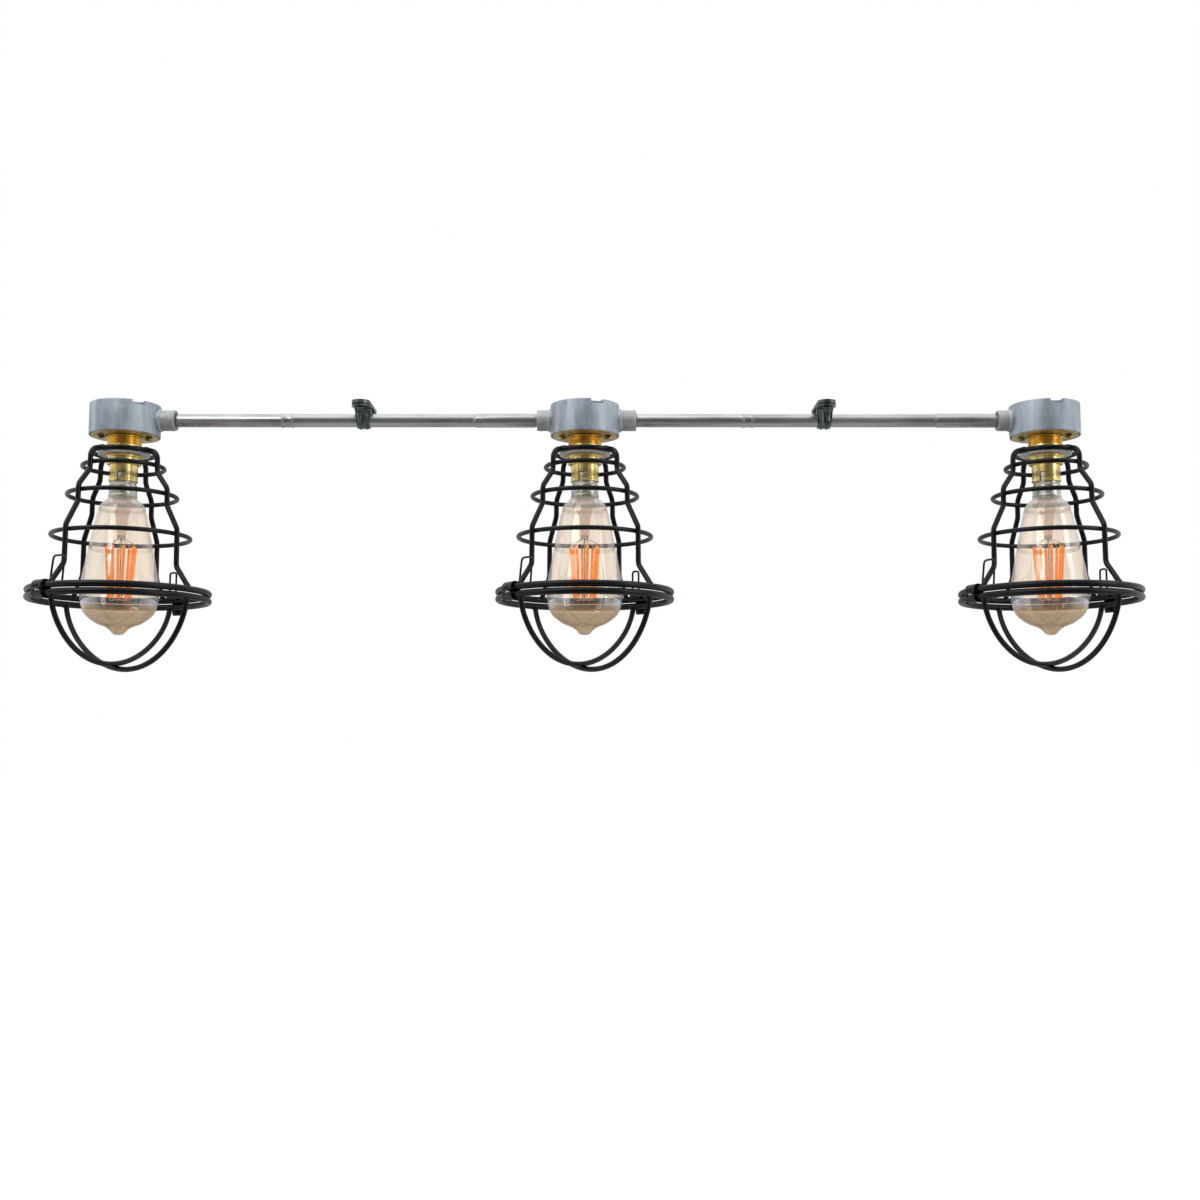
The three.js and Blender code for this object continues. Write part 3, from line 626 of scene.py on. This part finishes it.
# the casting follows the run, so it isn't turned with the lamp head
for lamp in lamps:
    centreX = lamp["x"] * 0.001
    addPiece({**lamp, "turn": 0}, "cast_box", conduitBox(lamp), "box spout",
             "conduit_box", second=lambda middle: abs(middle.x - centreX) > spout["finishFrom"] * 0.001)
print("conduit boxes")


# Cover plates, their screws, lampholders and the rings on them

plate = {"radius": 28.6, "top": -26.3, "bottom": -28.3, "hole": 9, "slotHalf": 2.2, "slotTurn": 13,
         "slotPast": 4, "keyhole": 3.7}
plateScrew = {"radius": 3.2, "seat": -28.6, "face": -30.5, "shank": 1.7, "tip": -21, "groove": (0.8, 8, 1.6)}


def coverPlate():
    radius, top, bottom, hole, slotHalf, slotTurn, slotPast, keyhole = plate.values()
    disc = turned([(hole, top), (radius, top), (radius, bottom), (radius - 1.6, bottom),
                   (radius - 2.2, bottom + 0.3), (hole, bottom + 0.3)], 96, True, 0.3)
    cuts = []
    offset = box["lugOffset"]
    for half in (0, 180):
        cuts.append(wedge(offset - slotHalf, offset + slotHalf, bottom - 1, top + 1, half - slotTurn,
                          half + slotPast))
        at = polar(offset, half - slotTurn, 0)
        cuts.append(drum(keyhole, bottom - 1, top + 1, at.x, at.y))
    return combined(disc, cuts, "DIFFERENCE")


def panScrew(tilt):
    head, seat, face, shank, tip, _ = plateScrew.values()
    screw = turned([(0, tip), (shank, tip - 0.6), (shank, seat), (head, seat), (head, face + 0.9),
                    (head - 1.5, face), (0, face)], 40, corner=0.5)
    groove = block(plateScrew["groove"], turnBy(tilt) @ moved(z=face))
    return combined(screw, [groove], "DIFFERENCE")


holder = {"seat": -28.6, "foot": 15.4, "crest": 14.6, "valley": 13.9, "ridges": 4, "lip": 15.8,
          "sleeve": 12.2, "bore": 11.4, "mouth": -69, "slotEntry": -108, "slotTurn": 20, "pinZ": -62.5,
          "slotHalf": 1.45, "lipTop": -37.3, "threadTop": -40.2, "threadEnd": -50, "pitch": 1.3,
          "roof": -39.5, "hollow": 13.2, "wireHole": 8, "collarEnd": -36.4}


def lampholder():
    seat, mouth, sleeve = holder["seat"], holder["mouth"], holder["sleeve"]
    hole, hollow, lipTop = holder["wireHole"], holder["hollow"], holder["lipTop"]
    outside = [(hole, seat), (holder["foot"], seat), (holder["foot"], seat - 1),
               (holder["valley"], seat - 1.9)]
    for k in range(holder["ridges"]):
        z = seat - 2.3 - 1.5 * k
        outside += [(holder["crest"], z - 0.3), (holder["crest"], z - 0.8), (holder["valley"], z - 1.15),
                    (holder["valley"], z - 1.45)]
    outside += [(holder["lip"], lipTop), (holder["lip"], lipTop - 1.3), (sleeve + 0.3, lipTop - 2.1)]
    z = holder["threadTop"]
    while z > holder["threadEnd"]:
        outside += [(sleeve + 0.35, z), (sleeve - 0.1, z - 0.6)]
        z -= holder["pitch"]
    outside += [(sleeve, z), (sleeve, mouth + 1.7), (sleeve + 0.45, mouth + 1.1),
                (sleeve + 0.45, mouth + 0.4), (sleeve, mouth), (holder["bore"], mouth),
                (holder["bore"], holder["roof"]), (hollow, holder["roof"] + 1.5), (hollow, seat - 1.2),
                (hole, seat - 1.2)]
    shell = turned(outside, 96, True, 0.22, 2)
    cuts = []
    half = degrees(holder["slotHalf"] / sleeve)
    low, high = holder["pinZ"] - holder["slotHalf"], holder["pinZ"] + holder["slotHalf"]
    for opposite in (0, 180):
        entry = holder["slotEntry"] + opposite
        inner, outer = holder["bore"] - 0.5, sleeve + 1.2
        cuts.append(wedge(inner, outer, mouth - 1, high, entry - half, entry + half))
        cuts.append(wedge(inner, outer, low, high + 0.01, entry, entry + holder["slotTurn"] + half))
    return combined(shell, cuts, "DIFFERENCE")


gripRing = {"inner": 12.7, "outer": 22.3, "top": -41.6, "bottom": -45.2, "grips": 36, "gripDepth": 0.45}


def shadeRing():
    inner, outer, top, bottom, grips, depth = gripRing.values()
    ring = turned([(inner, top), (outer, top), (outer, bottom), (outer - 2.6, bottom),
                   (outer - 3.4, bottom + 0.9), (inner + 2.2, bottom + 0.9), (inner + 1.4, bottom),
                   (inner, bottom)], 216, True, 0.5)
    for vert in ring.verts:
        radius = hypot(vert.co.x, vert.co.y)
        if radius > outer - 0.9:
            wave = 0.5 - 0.5 * cos(grips * atan2(vert.co.y, vert.co.x))
            scale = (radius - depth * wave ** 3) / radius
            vert.co.x *= scale
            vert.co.y *= scale
    return ring


clamp = {"inner": 12.75, "flange": 15.6, "waist": 13.6, "bead": 14.9, "top": -45.5, "bottom": -54}


def clampRing():
    inner, flange, waist, rim, top, bottom = clamp.values()
    return turned([(inner, top), (flange, top), (flange, top - 1.7), (waist, top - 2.6),
                   (waist, bottom + 3.8), (rim, bottom + 3), (rim, bottom + 0.9), (waist, bottom),
                   (inner, bottom)], 96, True, 0.7, 4)


for lamp in lamps:
    addPiece(lamp, "brass_plate", coverPlate(), "plate", "cover_plate")
    for letter, side, tilt in (("a", -1, 35), ("b", 1, -20)):
        addPiece(lamp, f"pan_screw_{letter}", panScrew(tilt), "screw",
                 f"plate_screw_{letter}", shift=(side * box["lugOffset"], 0, 0))
        keepNode(lamp, f"contact_plunger_{letter}", "contact")
    # above collarEnd the holder takes the collar's brass, deepened with painted bounced light; below it the
    # sleeve's plain brass
    addPiece(lamp, "bayonet_holder", lampholder(), "collar sleeve",
             "lampholder", second=lambda middle: middle.z < holder["collarEnd"] * 0.001)
    addPiece(lamp, "shade_collar", shadeRing(), "white", "shade_ring")
    addPiece(lamp, "clamp_nut", clampRing(), "sleeve", "clamp_ring")
    keepNode(lamp, "insulator_core", "insulator")
print("lampholders")


# Bulbs

cap = {"top": -56, "shell": 11, "flareTop": -70.6, "rim": 12.3, "bottom": -83, "inner": 9.8, "floor": -60,
       "pinFrom": 10, "pinTo": 12.6, "pin": 1, "contact": 4.6, "pad": 2.4}
glassLine = [(12.1, -82.6), (12.5, -84), (14.6, -85.8), (17.6, -88.6), (19.7, -92.4), (22.6, -104.5),
             (27, -127), (31.2, -149), (33.3, -161), (33.5, -169), (32.3, -178), (28.5, -186.6),
             (19.6, -193.8), (11.4, -197.4), (7.6, -200), (5.2, -202.8), (2.6, -204.2), (0, -204.5)]
glassWall = 0.9


def bulbCap():
    top, shell, flare, rim, bottom, inner, floor, pinFrom, pinTo, pin, contact, pad = cap.values()
    body = turned([(0, top), (shell, top), (shell, flare), (rim - 0.3, flare - 1.8),
                   (rim - 0.3, bottom + 2.2), (rim + 0.1, bottom + 1.6), (rim + 0.1, bottom + 0.6),
                   (rim - 0.3, bottom), (inner, bottom), (inner, floor), (0, floor)], 72, corner=0.8)
    parts = []
    pinAzimuth = holder["slotEntry"] + holder["slotTurn"]
    for opposite in (0, 180):
        peg = turned([(0, pinFrom), (pin, pinFrom), (pin, pinTo), (0, pinTo)], 20, corner=0.3)
        lie = turnBy(pinAzimuth + opposite) @ moved(z=holder["pinZ"])
        peg.transform(lie @ layDown)
        at = polar(contact, pinAzimuth + 90 + opposite, 0)
        solder = turned([(0, top - 0.4), (pad, top - 0.4), (pad * 0.8, top + 0.35), (0, top + 0.5)], 24,
                        corner=0.3)
        solder.transform(moved(at.x, at.y))
        parts += [peg, solder]
    return combined(body, parts, "UNION")


def bulbGlass():
    outer = smoothLine(glassLine, 6)
    inner = []
    for k, point in enumerate(outer):
        ahead = outer[min(k + 1, len(outer) - 1)] - outer[max(k - 1, 0)]
        inward = Vector((ahead[1], -ahead[0])).normalized()
        within = point + inward * glassWall
        inner.append(Vector((max(within[0], 0), within[1])))
    inner[-1] = Vector((0, outer[-1][1] + 2 * glassWall))
    inner = [point for point in inner if point[1] > outer[-1][1] + 1.5 * glassWall]
    return turned(outer + inner[::-1], 96, True)


stemLine = [(0, -66), (8.6, -66), (8.8, -84), (7.6, -92), (5.4, -100), (4.4, -109), (3.8, -117), (2.6, -120),
            (0, -120.6)]
filament = {"count": 8, "topRadius": 12.6, "topZ": -125, "bottomRadius": 9.2, "bottomZ": -173, "half": 1.3,
            "support": 0.28, "phase": 0.25}


def glassStem():
    return turned([stemLine[0]] + smoothLine(stemLine[1:-1], 4) + [stemLine[-1]], 48)


# the upper and lower end of one filament, in from its ends by the given length
def filamentEnds(k, short=0):
    azimuth = 360 * (k + filament["phase"]) / filament["count"]
    return (azimuth, polar(filament["topRadius"], azimuth, filament["topZ"] - short),
            polar(filament["bottomRadius"], azimuth, filament["bottomZ"] + short))


def filamentRods():
    parts = []
    for k in range(filament["count"]):
        _, top, bottom = filamentEnds(k, 1.5)
        length = (top - bottom).length
        rod = turned([(0, 0), (filament["half"], 0), (filament["half"], length), (0, length)], 14, corner=0.7)
        tilt = up(1).rotation_difference(top - bottom).to_matrix().to_4x4()
        rod.transform(Matrix.Translation(bottom) @ tilt)
        parts.append(rod)
    return together(parts)


def supportWires():
    foot = filament["bottomZ"]
    parts = [bentWire([up(-119), up(foot - 0.5)], 0.5),
             wireRing(2.2, foot - 0.4, 0.45, 24, 8)]
    for k in range(filament["count"]):
        azimuth, top, bottom = filamentEnds(k)
        arm = rounded([polar(2.6, azimuth, -116), polar(3.4, azimuth, -120), polar(9, azimuth, -122.6),
                       top + up(0.8), top - up(2)], 1.2)
        parts.append(bentWire(arm, filament["support"], sides=1))
        hook = rounded([polar(2.2, azimuth, foot - 0.4), bottom - up(0.6),
                        bottom + up(2)], 1)
        parts.append(bentWire(hook, filament["support"], sides=1))
    return together(parts)


for lamp in lamps:
    addPiece(lamp, "lamp_cap", bulbCap(), "cap", "bulb_cap", "bulb")
    addPiece(lamp, "lamp_glass", bulbGlass(), "glass", "bulb_glass", "bulb")
    addPiece(lamp, "lamp_stem", glassStem(), "stem", body="bulb")
    addPiece(lamp, "filament_rods", filamentRods(), "filament", "bulb_mount", "bulb")
    addPiece(lamp, "support_wires", supportWires(), "cap", body="bulb")
print("bulbs")


# Wire cages

cage = {
    "rings": [(27, -42.8, 2.3), (34.4, -56, 2), (46.1, -82, 2), (58.3, -118, 2), (75.5, -167, 2.9)],
    "ribs": [60, 122, 224, 318], "rib": 2.3, "bend": 9,
    "ribLine": [(27, -42.8), (34, -44), (37.6, -49), (37.9, -63), (49.5, -78), (49.7, -93), (61.6, -114.5),
                (61.9, -147), (75.5, -165.2)],
    "eyeTop": -39.9, "eyeOuter": 20.5, "eyeInner": 12.7, "sheet": 1.4, "tab": (10.8, 6.5), "tabAt": 22.4,
    # how far out a weld bead sits, for the small rings and for the rim, and its size for each mm of wire
    "weldOut": (0.9, -0.2), "weld": (1.05, 1.7, 1.02),
}
door = {"ring": (75.5, -173.2, 2.9), "hoop": 2.4, "reach": 74.6,
        "hoops": [(224, 54, -229.6), (318, 128, -234)], "power": 0.6, "lean": 0.08,
        "weld": (3, 4.6, 3), "weldIn": 0.6, "weldDrop": 1}


def cageFrame():
    rim = cage["rings"][-1]
    parts = [wireRing(*ring, 128 if ring == rim else 96) for ring in cage["rings"]]
    top, sheet, inner, outer = (cage[key] for key in ("eyeTop", "sheet", "eyeInner", "eyeOuter"))
    low = top - sheet
    parts.append(turned([(inner, top), (outer, top), (outer, low), (inner, low)], 72, True, sheet / 4))
    for azimuth in cage["ribs"]:
        tabPlace = turnBy(azimuth) @ moved(cage["tabAt"], 0, top - sheet / 2)
        parts.append(softenEdges(block((*cage["tab"], sheet), tabPlace), sheet / 4))
        path = rounded([polar(radius, azimuth, z) for radius, z in cage["ribLine"]], cage["bend"], 6)
        parts.append(bentWire(path, cage["rib"]))
        for ring in cage["rings"]:
            radius, z, wire = ring
            weld = turnBy(azimuth) @ moved(radius + cage["weldOut"][ring == rim], 0, z)
            parts.append(bead(weld, [wire * part for part in cage["weld"]]))
    return together(parts)


# a wire from the front of the ring to the rear of it, in one upright plane
def hoopPath(start, end, bottom, steps=40):
    ringZ = door["ring"][1]
    front, rear = polar(door["reach"], start, ringZ), polar(door["reach"], end, ringZ)
    path = []
    for k in range(steps + 1):
        share = -cos(pi * k / steps)
        drop = max(0, 1 - share * share) ** door["power"] * (1 - door["lean"] * share)
        path.append(front.lerp(rear, (1 + share) / 2) - up((ringZ - bottom) * drop))
    return path


def cageDoor():
    radius, z, wire = door["ring"]
    parts = [wireRing(radius, z, wire, 128)]
    for start, end, bottom in door["hoops"]:
        parts.append(bentWire(hoopPath(start, end, bottom), door["hoop"]))
        for azimuth in (start, end):
            weld = turnBy(azimuth) @ moved(radius - door["weldIn"], 0, z - door["weldDrop"])
            parts.append(bead(weld, door["weld"]))
    return together(parts)


clip = {"azimuth": 215, "width": 14, "clearance": 0.9, "sheet": 1.2, "frame": 2.9, "pin": 0.9, "pinHalf": 5.2,
        "loop": 0.9, "loopRadius": 71.3, "loopFrom": 217, "loopNear": 219.5, "loopFar": 231, "loopTop": -142}
latch = {"azimuth": 50.5, "width": 12, "clearance": 0.9, "sheet": 1.2, "foot": -179.6, "lip": 2.6,
         "loop": 0.9, "loopHalf": 3.5, "loopShift": 2.4, "loopTop": -141}
rimRadius, rimZ, rimWire = cage["rings"][-1]
doorZ = door["ring"][1]


# a bent sheet: its section in (radial, Z), carried along the rim's tangent, with a window where one is wanted
def bentSheet(section, width, sheet, azimuth, closed, window=None):
    bm = bmesh.new()
    columns = [-width / 2, -width / 2 + 2.6, -width / 2 + 3, width / 2 - 3, width / 2 - 2.6, width / 2]
    _, edges = joinedLine(bm, [(point[0], columns[0], point[1]) for point in section], closed)
    for near, far in zip(columns, columns[1:]):
        fresh, edges = nextRow(bm, edges)
        bmesh.ops.translate(bm, verts=fresh, vec=(0, far - near, 0))
    if window:
        gone = [face for face in bm.faces if window(face.calc_center_median())]
        bmesh.ops.delete(bm, geom=gone, context="FACES")
    faceOut(bm)
    bmesh.ops.solidify(bm, geom=bm.faces[:], thickness=sheet)
    bm.transform(turnBy(azimuth) @ moved(rimRadius))
    faceOut(bm)
    return bm


def capsule(radius, lower, upper, steps=10):
    section = []
    for z, half in ((upper, 0), (lower, 1)):
        for k in range(steps + 1):
            angle = pi * (half + k / steps)
            section.append((radius * cos(angle), z + radius * sin(angle)))
    return section


def hingeClip():
    inside = rimWire + clip["clearance"]
    section = capsule(inside + clip["sheet"], doorZ, rimZ)
    band = bentSheet(section, clip["width"], clip["sheet"], clip["azimuth"], True, lambda at: (
        at.x > 0 and abs(at.y) < clip["width"] / 2 - clip["frame"] and doorZ < at.z < rimZ))
    radius, start, near, far, top = (clip["loop" + key] for key in ("Radius", "From", "Near", "Far", "Top"))
    loop = rounded([polar(radius, start, rimZ + 1), polar(radius, near, rimZ + 1.5),
                    polar(radius - 2, near + 1, top), polar(radius - 2, far, top),
                    polar(radius, far, rimZ + 3)], 3.4, 6)
    pinRadius = rimRadius + inside + clip["sheet"] + 0.1
    pin = bentWire([Vector((pinRadius, side * clip["pinHalf"], (rimZ + doorZ) / 2)) for side in (-1, 1)],
                   clip["pin"])
    pin.transform(turnBy(clip["azimuth"]))
    return together([band, bentWire(loop, clip["loop"]), pin])


def latchLever():
    middle = rimWire + latch["clearance"] + latch["sheet"] / 2
    section = [(middle * cos(pi * k / 12), rimZ + middle * sin(pi * k / 12))
               for k in range(12, -1, -1)]
    section += [(middle, rimZ - 4), (middle, latch["foot"] + 1.6), (middle + 0.7, latch["foot"]),
                (middle + latch["lip"] - 1, latch["foot"] - 0.9)]
    strap = bentSheet(section, latch["width"], latch["sheet"], latch["azimuth"], False)
    crown = rimZ + middle
    half, shift, top = latch["loopHalf"], latch["loopShift"], latch["loopTop"]
    near, far = shift - half, shift + half
    loop = rounded([(0, near, crown - 0.4), (0, near, top), (0, far, top), (0, far, crown - 0.4)], 2.4, 6)
    place = turnBy(latch["azimuth"]) @ moved(rimRadius)
    bail = bentWire(loop, latch["loop"])
    bail.transform(place)
    rivet = turned([(0, 0), (1.7, 0), (1.7, 0.6), (1, 1.2), (0, 1.3)], 20, corner=0.3)
    rivet.transform(place @ moved(middle + 0.5, 0, rimZ - 7) @ layDown)
    return together([strap, bail, rivet])


for lamp in lamps:
    addPiece(lamp, "cage_wires", cageFrame(), "wire", "cage_frame")
    addPiece(lamp, "guard_wires", cageDoor(), "wire", "cage_door", "door")
    addPiece(lamp, "hinge_strap", hingeClip(), "sheet", "hinge_clip")
    addPiece(lamp, "latch_strap", latchLever(), "sheet", "latch", "latch_lever")
print("cages")


# Conduit runs and their saddles

conduit = {"radius": 5.8, "bore": 4.6, "collar": (139, 149.5), "collarRadius": 6.3, "sleeveFrom": 311,
           "sleeveRadius": 6.15}
saddle = {"shift": 212, "half": 26, "ear": 8, "base": 3, "pad": (12.6, 11.2, 6.4), "padZ": -4.2,
          "strapHalf": 5.4, "flare": 1.7, "flareFrom": -21.6, "flareRise": 16.3, "sheet": 1.3, "rib": 0.8,
          "outer": 8.1, "screw": 18, "screwHole": 1.7, "shank": 1.5, "earZ": -5.3, "headRadius": 3.6,
          "groove": (0.9, 9, 1.8)}


def conduitTube():
    start = spout["reach"][1] - spout["socketDepth"] + 0.5
    end = lampPitch - spout["reach"][-1] + spout["socketDepth"] - 0.5
    sleeveEnd = lampPitch - spout["reach"][-1] - 2
    radius, bore, ring, wide = (conduit[key] for key in ("radius", "bore", "collarRadius", "sleeveRadius"))
    first, last = conduit["collar"]
    seam = conduit["sleeveFrom"]
    line = [(bore, start), (radius, start), (radius, first), (ring, first + 0.4), (ring, first + 1.6),
            (ring - 0.35, first + 2), (ring - 0.35, last - 2), (ring, last - 1.6), (ring, last - 0.4),
            (radius, last), (radius, seam - 1.2), (radius - 0.3, seam - 0.8), (radius - 0.3, seam),
            (wide, seam + 0.3), (wide, sleeveEnd), (radius, sleeveEnd + 0.6), (radius, end), (bore, end)]
    tube = turned(line, 56, True, 0.25, 2)
    tube.transform(moved(z=axisZ) @ layDown)
    return tube


def saddleBase():
    half, ear = saddle["half"], saddle["ear"]
    slab = block((2 * ear, 2 * (half - ear), saddle["base"]), moved(z=-saddle["base"] / 2))
    ends = [drum(ear, -saddle["base"], 0, 0, side * (half - ear), 48) for side in (-1, 1)]
    pad = block(saddle["pad"], moved(z=saddle["padZ"]))
    holes = [drum(saddle["screwHole"], -4, 1, 0, side * saddle["screw"], 20) for side in (-1, 1)]
    whole = combined(slab, [*ends, pad], "UNION")
    return combined(whole, holes, "DIFFERENCE")


# the strap's line over the conduit, as (distance across the bar, height) on the sheet's lower face
def strapLine():
    outer, low = saddle["outer"], saddle["earZ"]
    over = [(outer * sin(pi * k / 16), axisZ - outer * cos(pi * k / 16))
            for k in range(9)]
    line = over + [(outer, low - 4.6), (outer + 0.25, low - 2.8), (outer + 0.9, low - 1.3),
                   (outer + 2.2, low - 0.3), (outer + 3.4, low)]
    line += [(y, low) for y in (12, 14, 16, 18, 20, 22, 24, 25.2, 25.8, 26)]
    return [(-y, z) for y, z in line[:0:-1]] + line


# narrow under the conduit, and widening up its sides and along the ears
def strapHalfWidth(y, z):
    away = abs(y)
    ear, half = saddle["ear"], saddle["half"]
    if away > half - ear:
        return max(0.05, sqrt(max(0, ear ** 2 - (away - half + ear) ** 2)))
    climb = min(1, max(0, (z - saddle["flareFrom"]) / saddle["flareRise"]))
    reach = min(1, max(0, (away - ear) / 10))
    narrow, flare = saddle["strapHalf"], saddle["flare"]
    return narrow + flare * climb + (ear - narrow - flare) * reach


def saddleStrap():
    across = [k / 12 for k in range(-12, 13)]
    bm = bmesh.new()
    line = [Vector((0, y, z)) for y, z in strapLine()]
    rows = []
    for k, point in enumerate(line):
        ahead = line[min(k + 1, len(line) - 1)] - line[max(k - 1, 0)]
        out = Vector((0, ahead.z, -ahead.y)).normalized()
        width = strapHalfWidth(point.y, point.z)
        fade = min(1, max(0, (14 - abs(point.y)) / 3))
        row = []
        for share in across:
            swell = cos(min(1, abs(abs(share) - 0.47) / 0.33) * pi) * 0.5 + 0.5
            lift = saddle["rib"] * fade * (swell - 1)
            row.append(point + Vector((share * width, 0, 0)) + out * lift)
        rows.append(row)
    _, edges = joinedLine(bm, rows[0])
    for row in rows[1:]:
        fresh, edges = nextRow(bm, edges)
        fresh.sort(key=lambda vert: vert.co.x)
        for vert, place in zip(fresh, row):
            vert.co = place
    faceOut(bm)
    if sum(face.normal.z * face.calc_area() for face in bm.faces) > 0:
        bmesh.ops.reverse_faces(bm, faces=bm.faces)
    bmesh.ops.solidify(bm, geom=bm.faces[:], thickness=saddle["sheet"])
    return settled(bm)


def saddleScrew(tilt):
    top = saddle["earZ"] - 0.1
    head, shank = saddle["headRadius"], saddle["shank"]
    screw = turned([(0, -1), (shank, -1), (shank, top), (head, top), (head, top - 0.7), (head - 1.4, top - 2),
                    (0, top - 2.2)], 32, corner=0.6)
    groove = block(saddle["groove"], turnBy(tilt) @ moved(z=top - 2.2))
    return combined(screw, [groove], "DIFFERENCE")


for run in runs:
    addPiece(run, "conduit_tube", conduitTube(), "conduit", "conduit")
    keepNode(run, "wire_bundle", "cable")
    for name, shape, solid in (("plate", saddleBase, "base"), ("band", saddleStrap, "strap")):
        addPiece(run, f"saddle_{name}", shape(), "saddle", f"saddle_{solid}",
                 shift=(saddle["shift"], 0, 0))
    for letter, side, tilt in (("a", -1, 25), ("b", 1, -50)):
        addPiece(run, f"saddle_screw_{letter}", saddleScrew(tilt), "saddle",
                 shift=(saddle["shift"], side * saddle["screw"], 0))
print("conduit runs")


# The studio: a pale floor, a soft room of light and the camera

studio = {"floorZ": -1.6, "floorHalf": 60, "cameraX": 0.0134, "distance": 1.25, "cameraZ": -0.3,
          "pitch": 5.78, "lens": 43.0, "sensor": 36}
# over the light that is everywhere: how much comes from a side of the room, from where, and where it is full
everywhere = 0.2
airLight = {"aside": (0.75, 0.35, 0.95), "above": (1.3, 0.3, 0.9), "behind": (0.25, 0.0, 0.9),
            "below": (0.5, -0.5, -0.95)}
panels = {
    "keyPanel": {"place": (-1.3, -1.5, 1.2), "size": (1.2, 0.8), "power": 12},
    "fillPanel": {"place": (1.7, -0.9, 0.2), "size": (0.7, 1.2), "power": 6},
}
panelTarget = (0, 0, -0.1)
skylight = {"power": 0.4, "spread": 50, "lean": (18, -12, 0)}


def studioRoom():
    bench = newBench("paleFloor")
    cloud = bench.noise(0.8, 2, 0.5)
    pale = bench.mix(cloud, shade(0.98, 0.98, 0.98), shade(1, 1, 1))
    paint = painted(bench, Base_Color=pale, Roughness=0.9, Emission_Color=pale, Emission_Strength=1.0)
    bm = bmesh.new()
    bmesh.ops.create_grid(bm, x_segments=2, y_segments=2, size=studio["floorHalf"],
                          matrix=moved(z=studio["floorZ"]))
    mesh = meshOf(bm, "floor")
    mesh.materials.append(paint)
    floor = newObject("floor", mesh)
    # the floor is lit by itself, and doesn't light the bar from below
    floor.visible_diffuse = False
    floor.visible_glossy = False

    world = bpy.data.worlds.new("studioAir")
    scene.world = world
    world.use_nodes = True
    air = Bench(world.node_tree)
    way = air.add("ShaderNodeTexCoord", output="Generated")
    parts = air.add("ShaderNodeSeparateXYZ", {}, {"Vector": way}, "X")
    split = parts.output.node
    x, y, z = (Socket(air, split.outputs[k]) for k in range(3))
    outward = air.add("ShaderNodeMath", {"operation": "ABSOLUTE"}, {0: x})
    strength = everywhere
    for side, way in (("aside", outward), ("above", z), ("behind", y), ("below", z)):
        power, start, full = airLight[side]
        strength = strength + power * air.between(way, start, full)
    room = air.add("ShaderNodeBackground", {}, {"Color": (0.97, 0.985, 1.0, 1.0), "Strength": strength})
    plain = air.add("ShaderNodeBackground", {}, {"Color": (1, 1, 1, 1), "Strength": 1.0})
    seen = air.add("ShaderNodeLightPath", {}, {}, "Is Camera Ray")
    both = air.add("ShaderNodeMixShader", {}, {0: seen, 1: room, 2: plain})
    end = world.node_tree.nodes.new("ShaderNodeOutputWorld")
    world.node_tree.links.new(both.output, end.inputs["Surface"])


def addPanel(name, place, size, power):
    light = bpy.data.lights.new(name, "AREA")
    light.shape = "RECTANGLE"
    light.size, light.size_y = size
    light.energy = power
    panel = newObject(name, light)
    panel.location = place
    panel.rotation_euler = (Vector(panelTarget) - Vector(place)).to_track_quat("-Z", "Y").to_euler()


def addSkylight():
    light = bpy.data.lights.new("skylight", "SUN")
    light.energy = skylight["power"]
    light.angle = radians(skylight["spread"])
    newObject("skylight", light).rotation_euler = [radians(angle) for angle in skylight["lean"]]


studioRoom()
for name, panel in panels.items():
    addPanel(name, **panel)
addSkylight()

camera = bpy.data.cameras.new("camera")
camera.lens = studio["lens"]
camera.sensor_width = studio["sensor"]
camera.clip_start = 0.01
camera.clip_end = 200
cameraObject = newObject("camera", camera)
cameraObject.location = (studio["cameraX"], -studio["distance"], studio["cameraZ"])
cameraObject.rotation_euler = (radians(90 + studio["pitch"]), 0, 0)
scene.camera = cameraObject
scene.view_settings.view_transform = "Standard"
print("studio and camera")
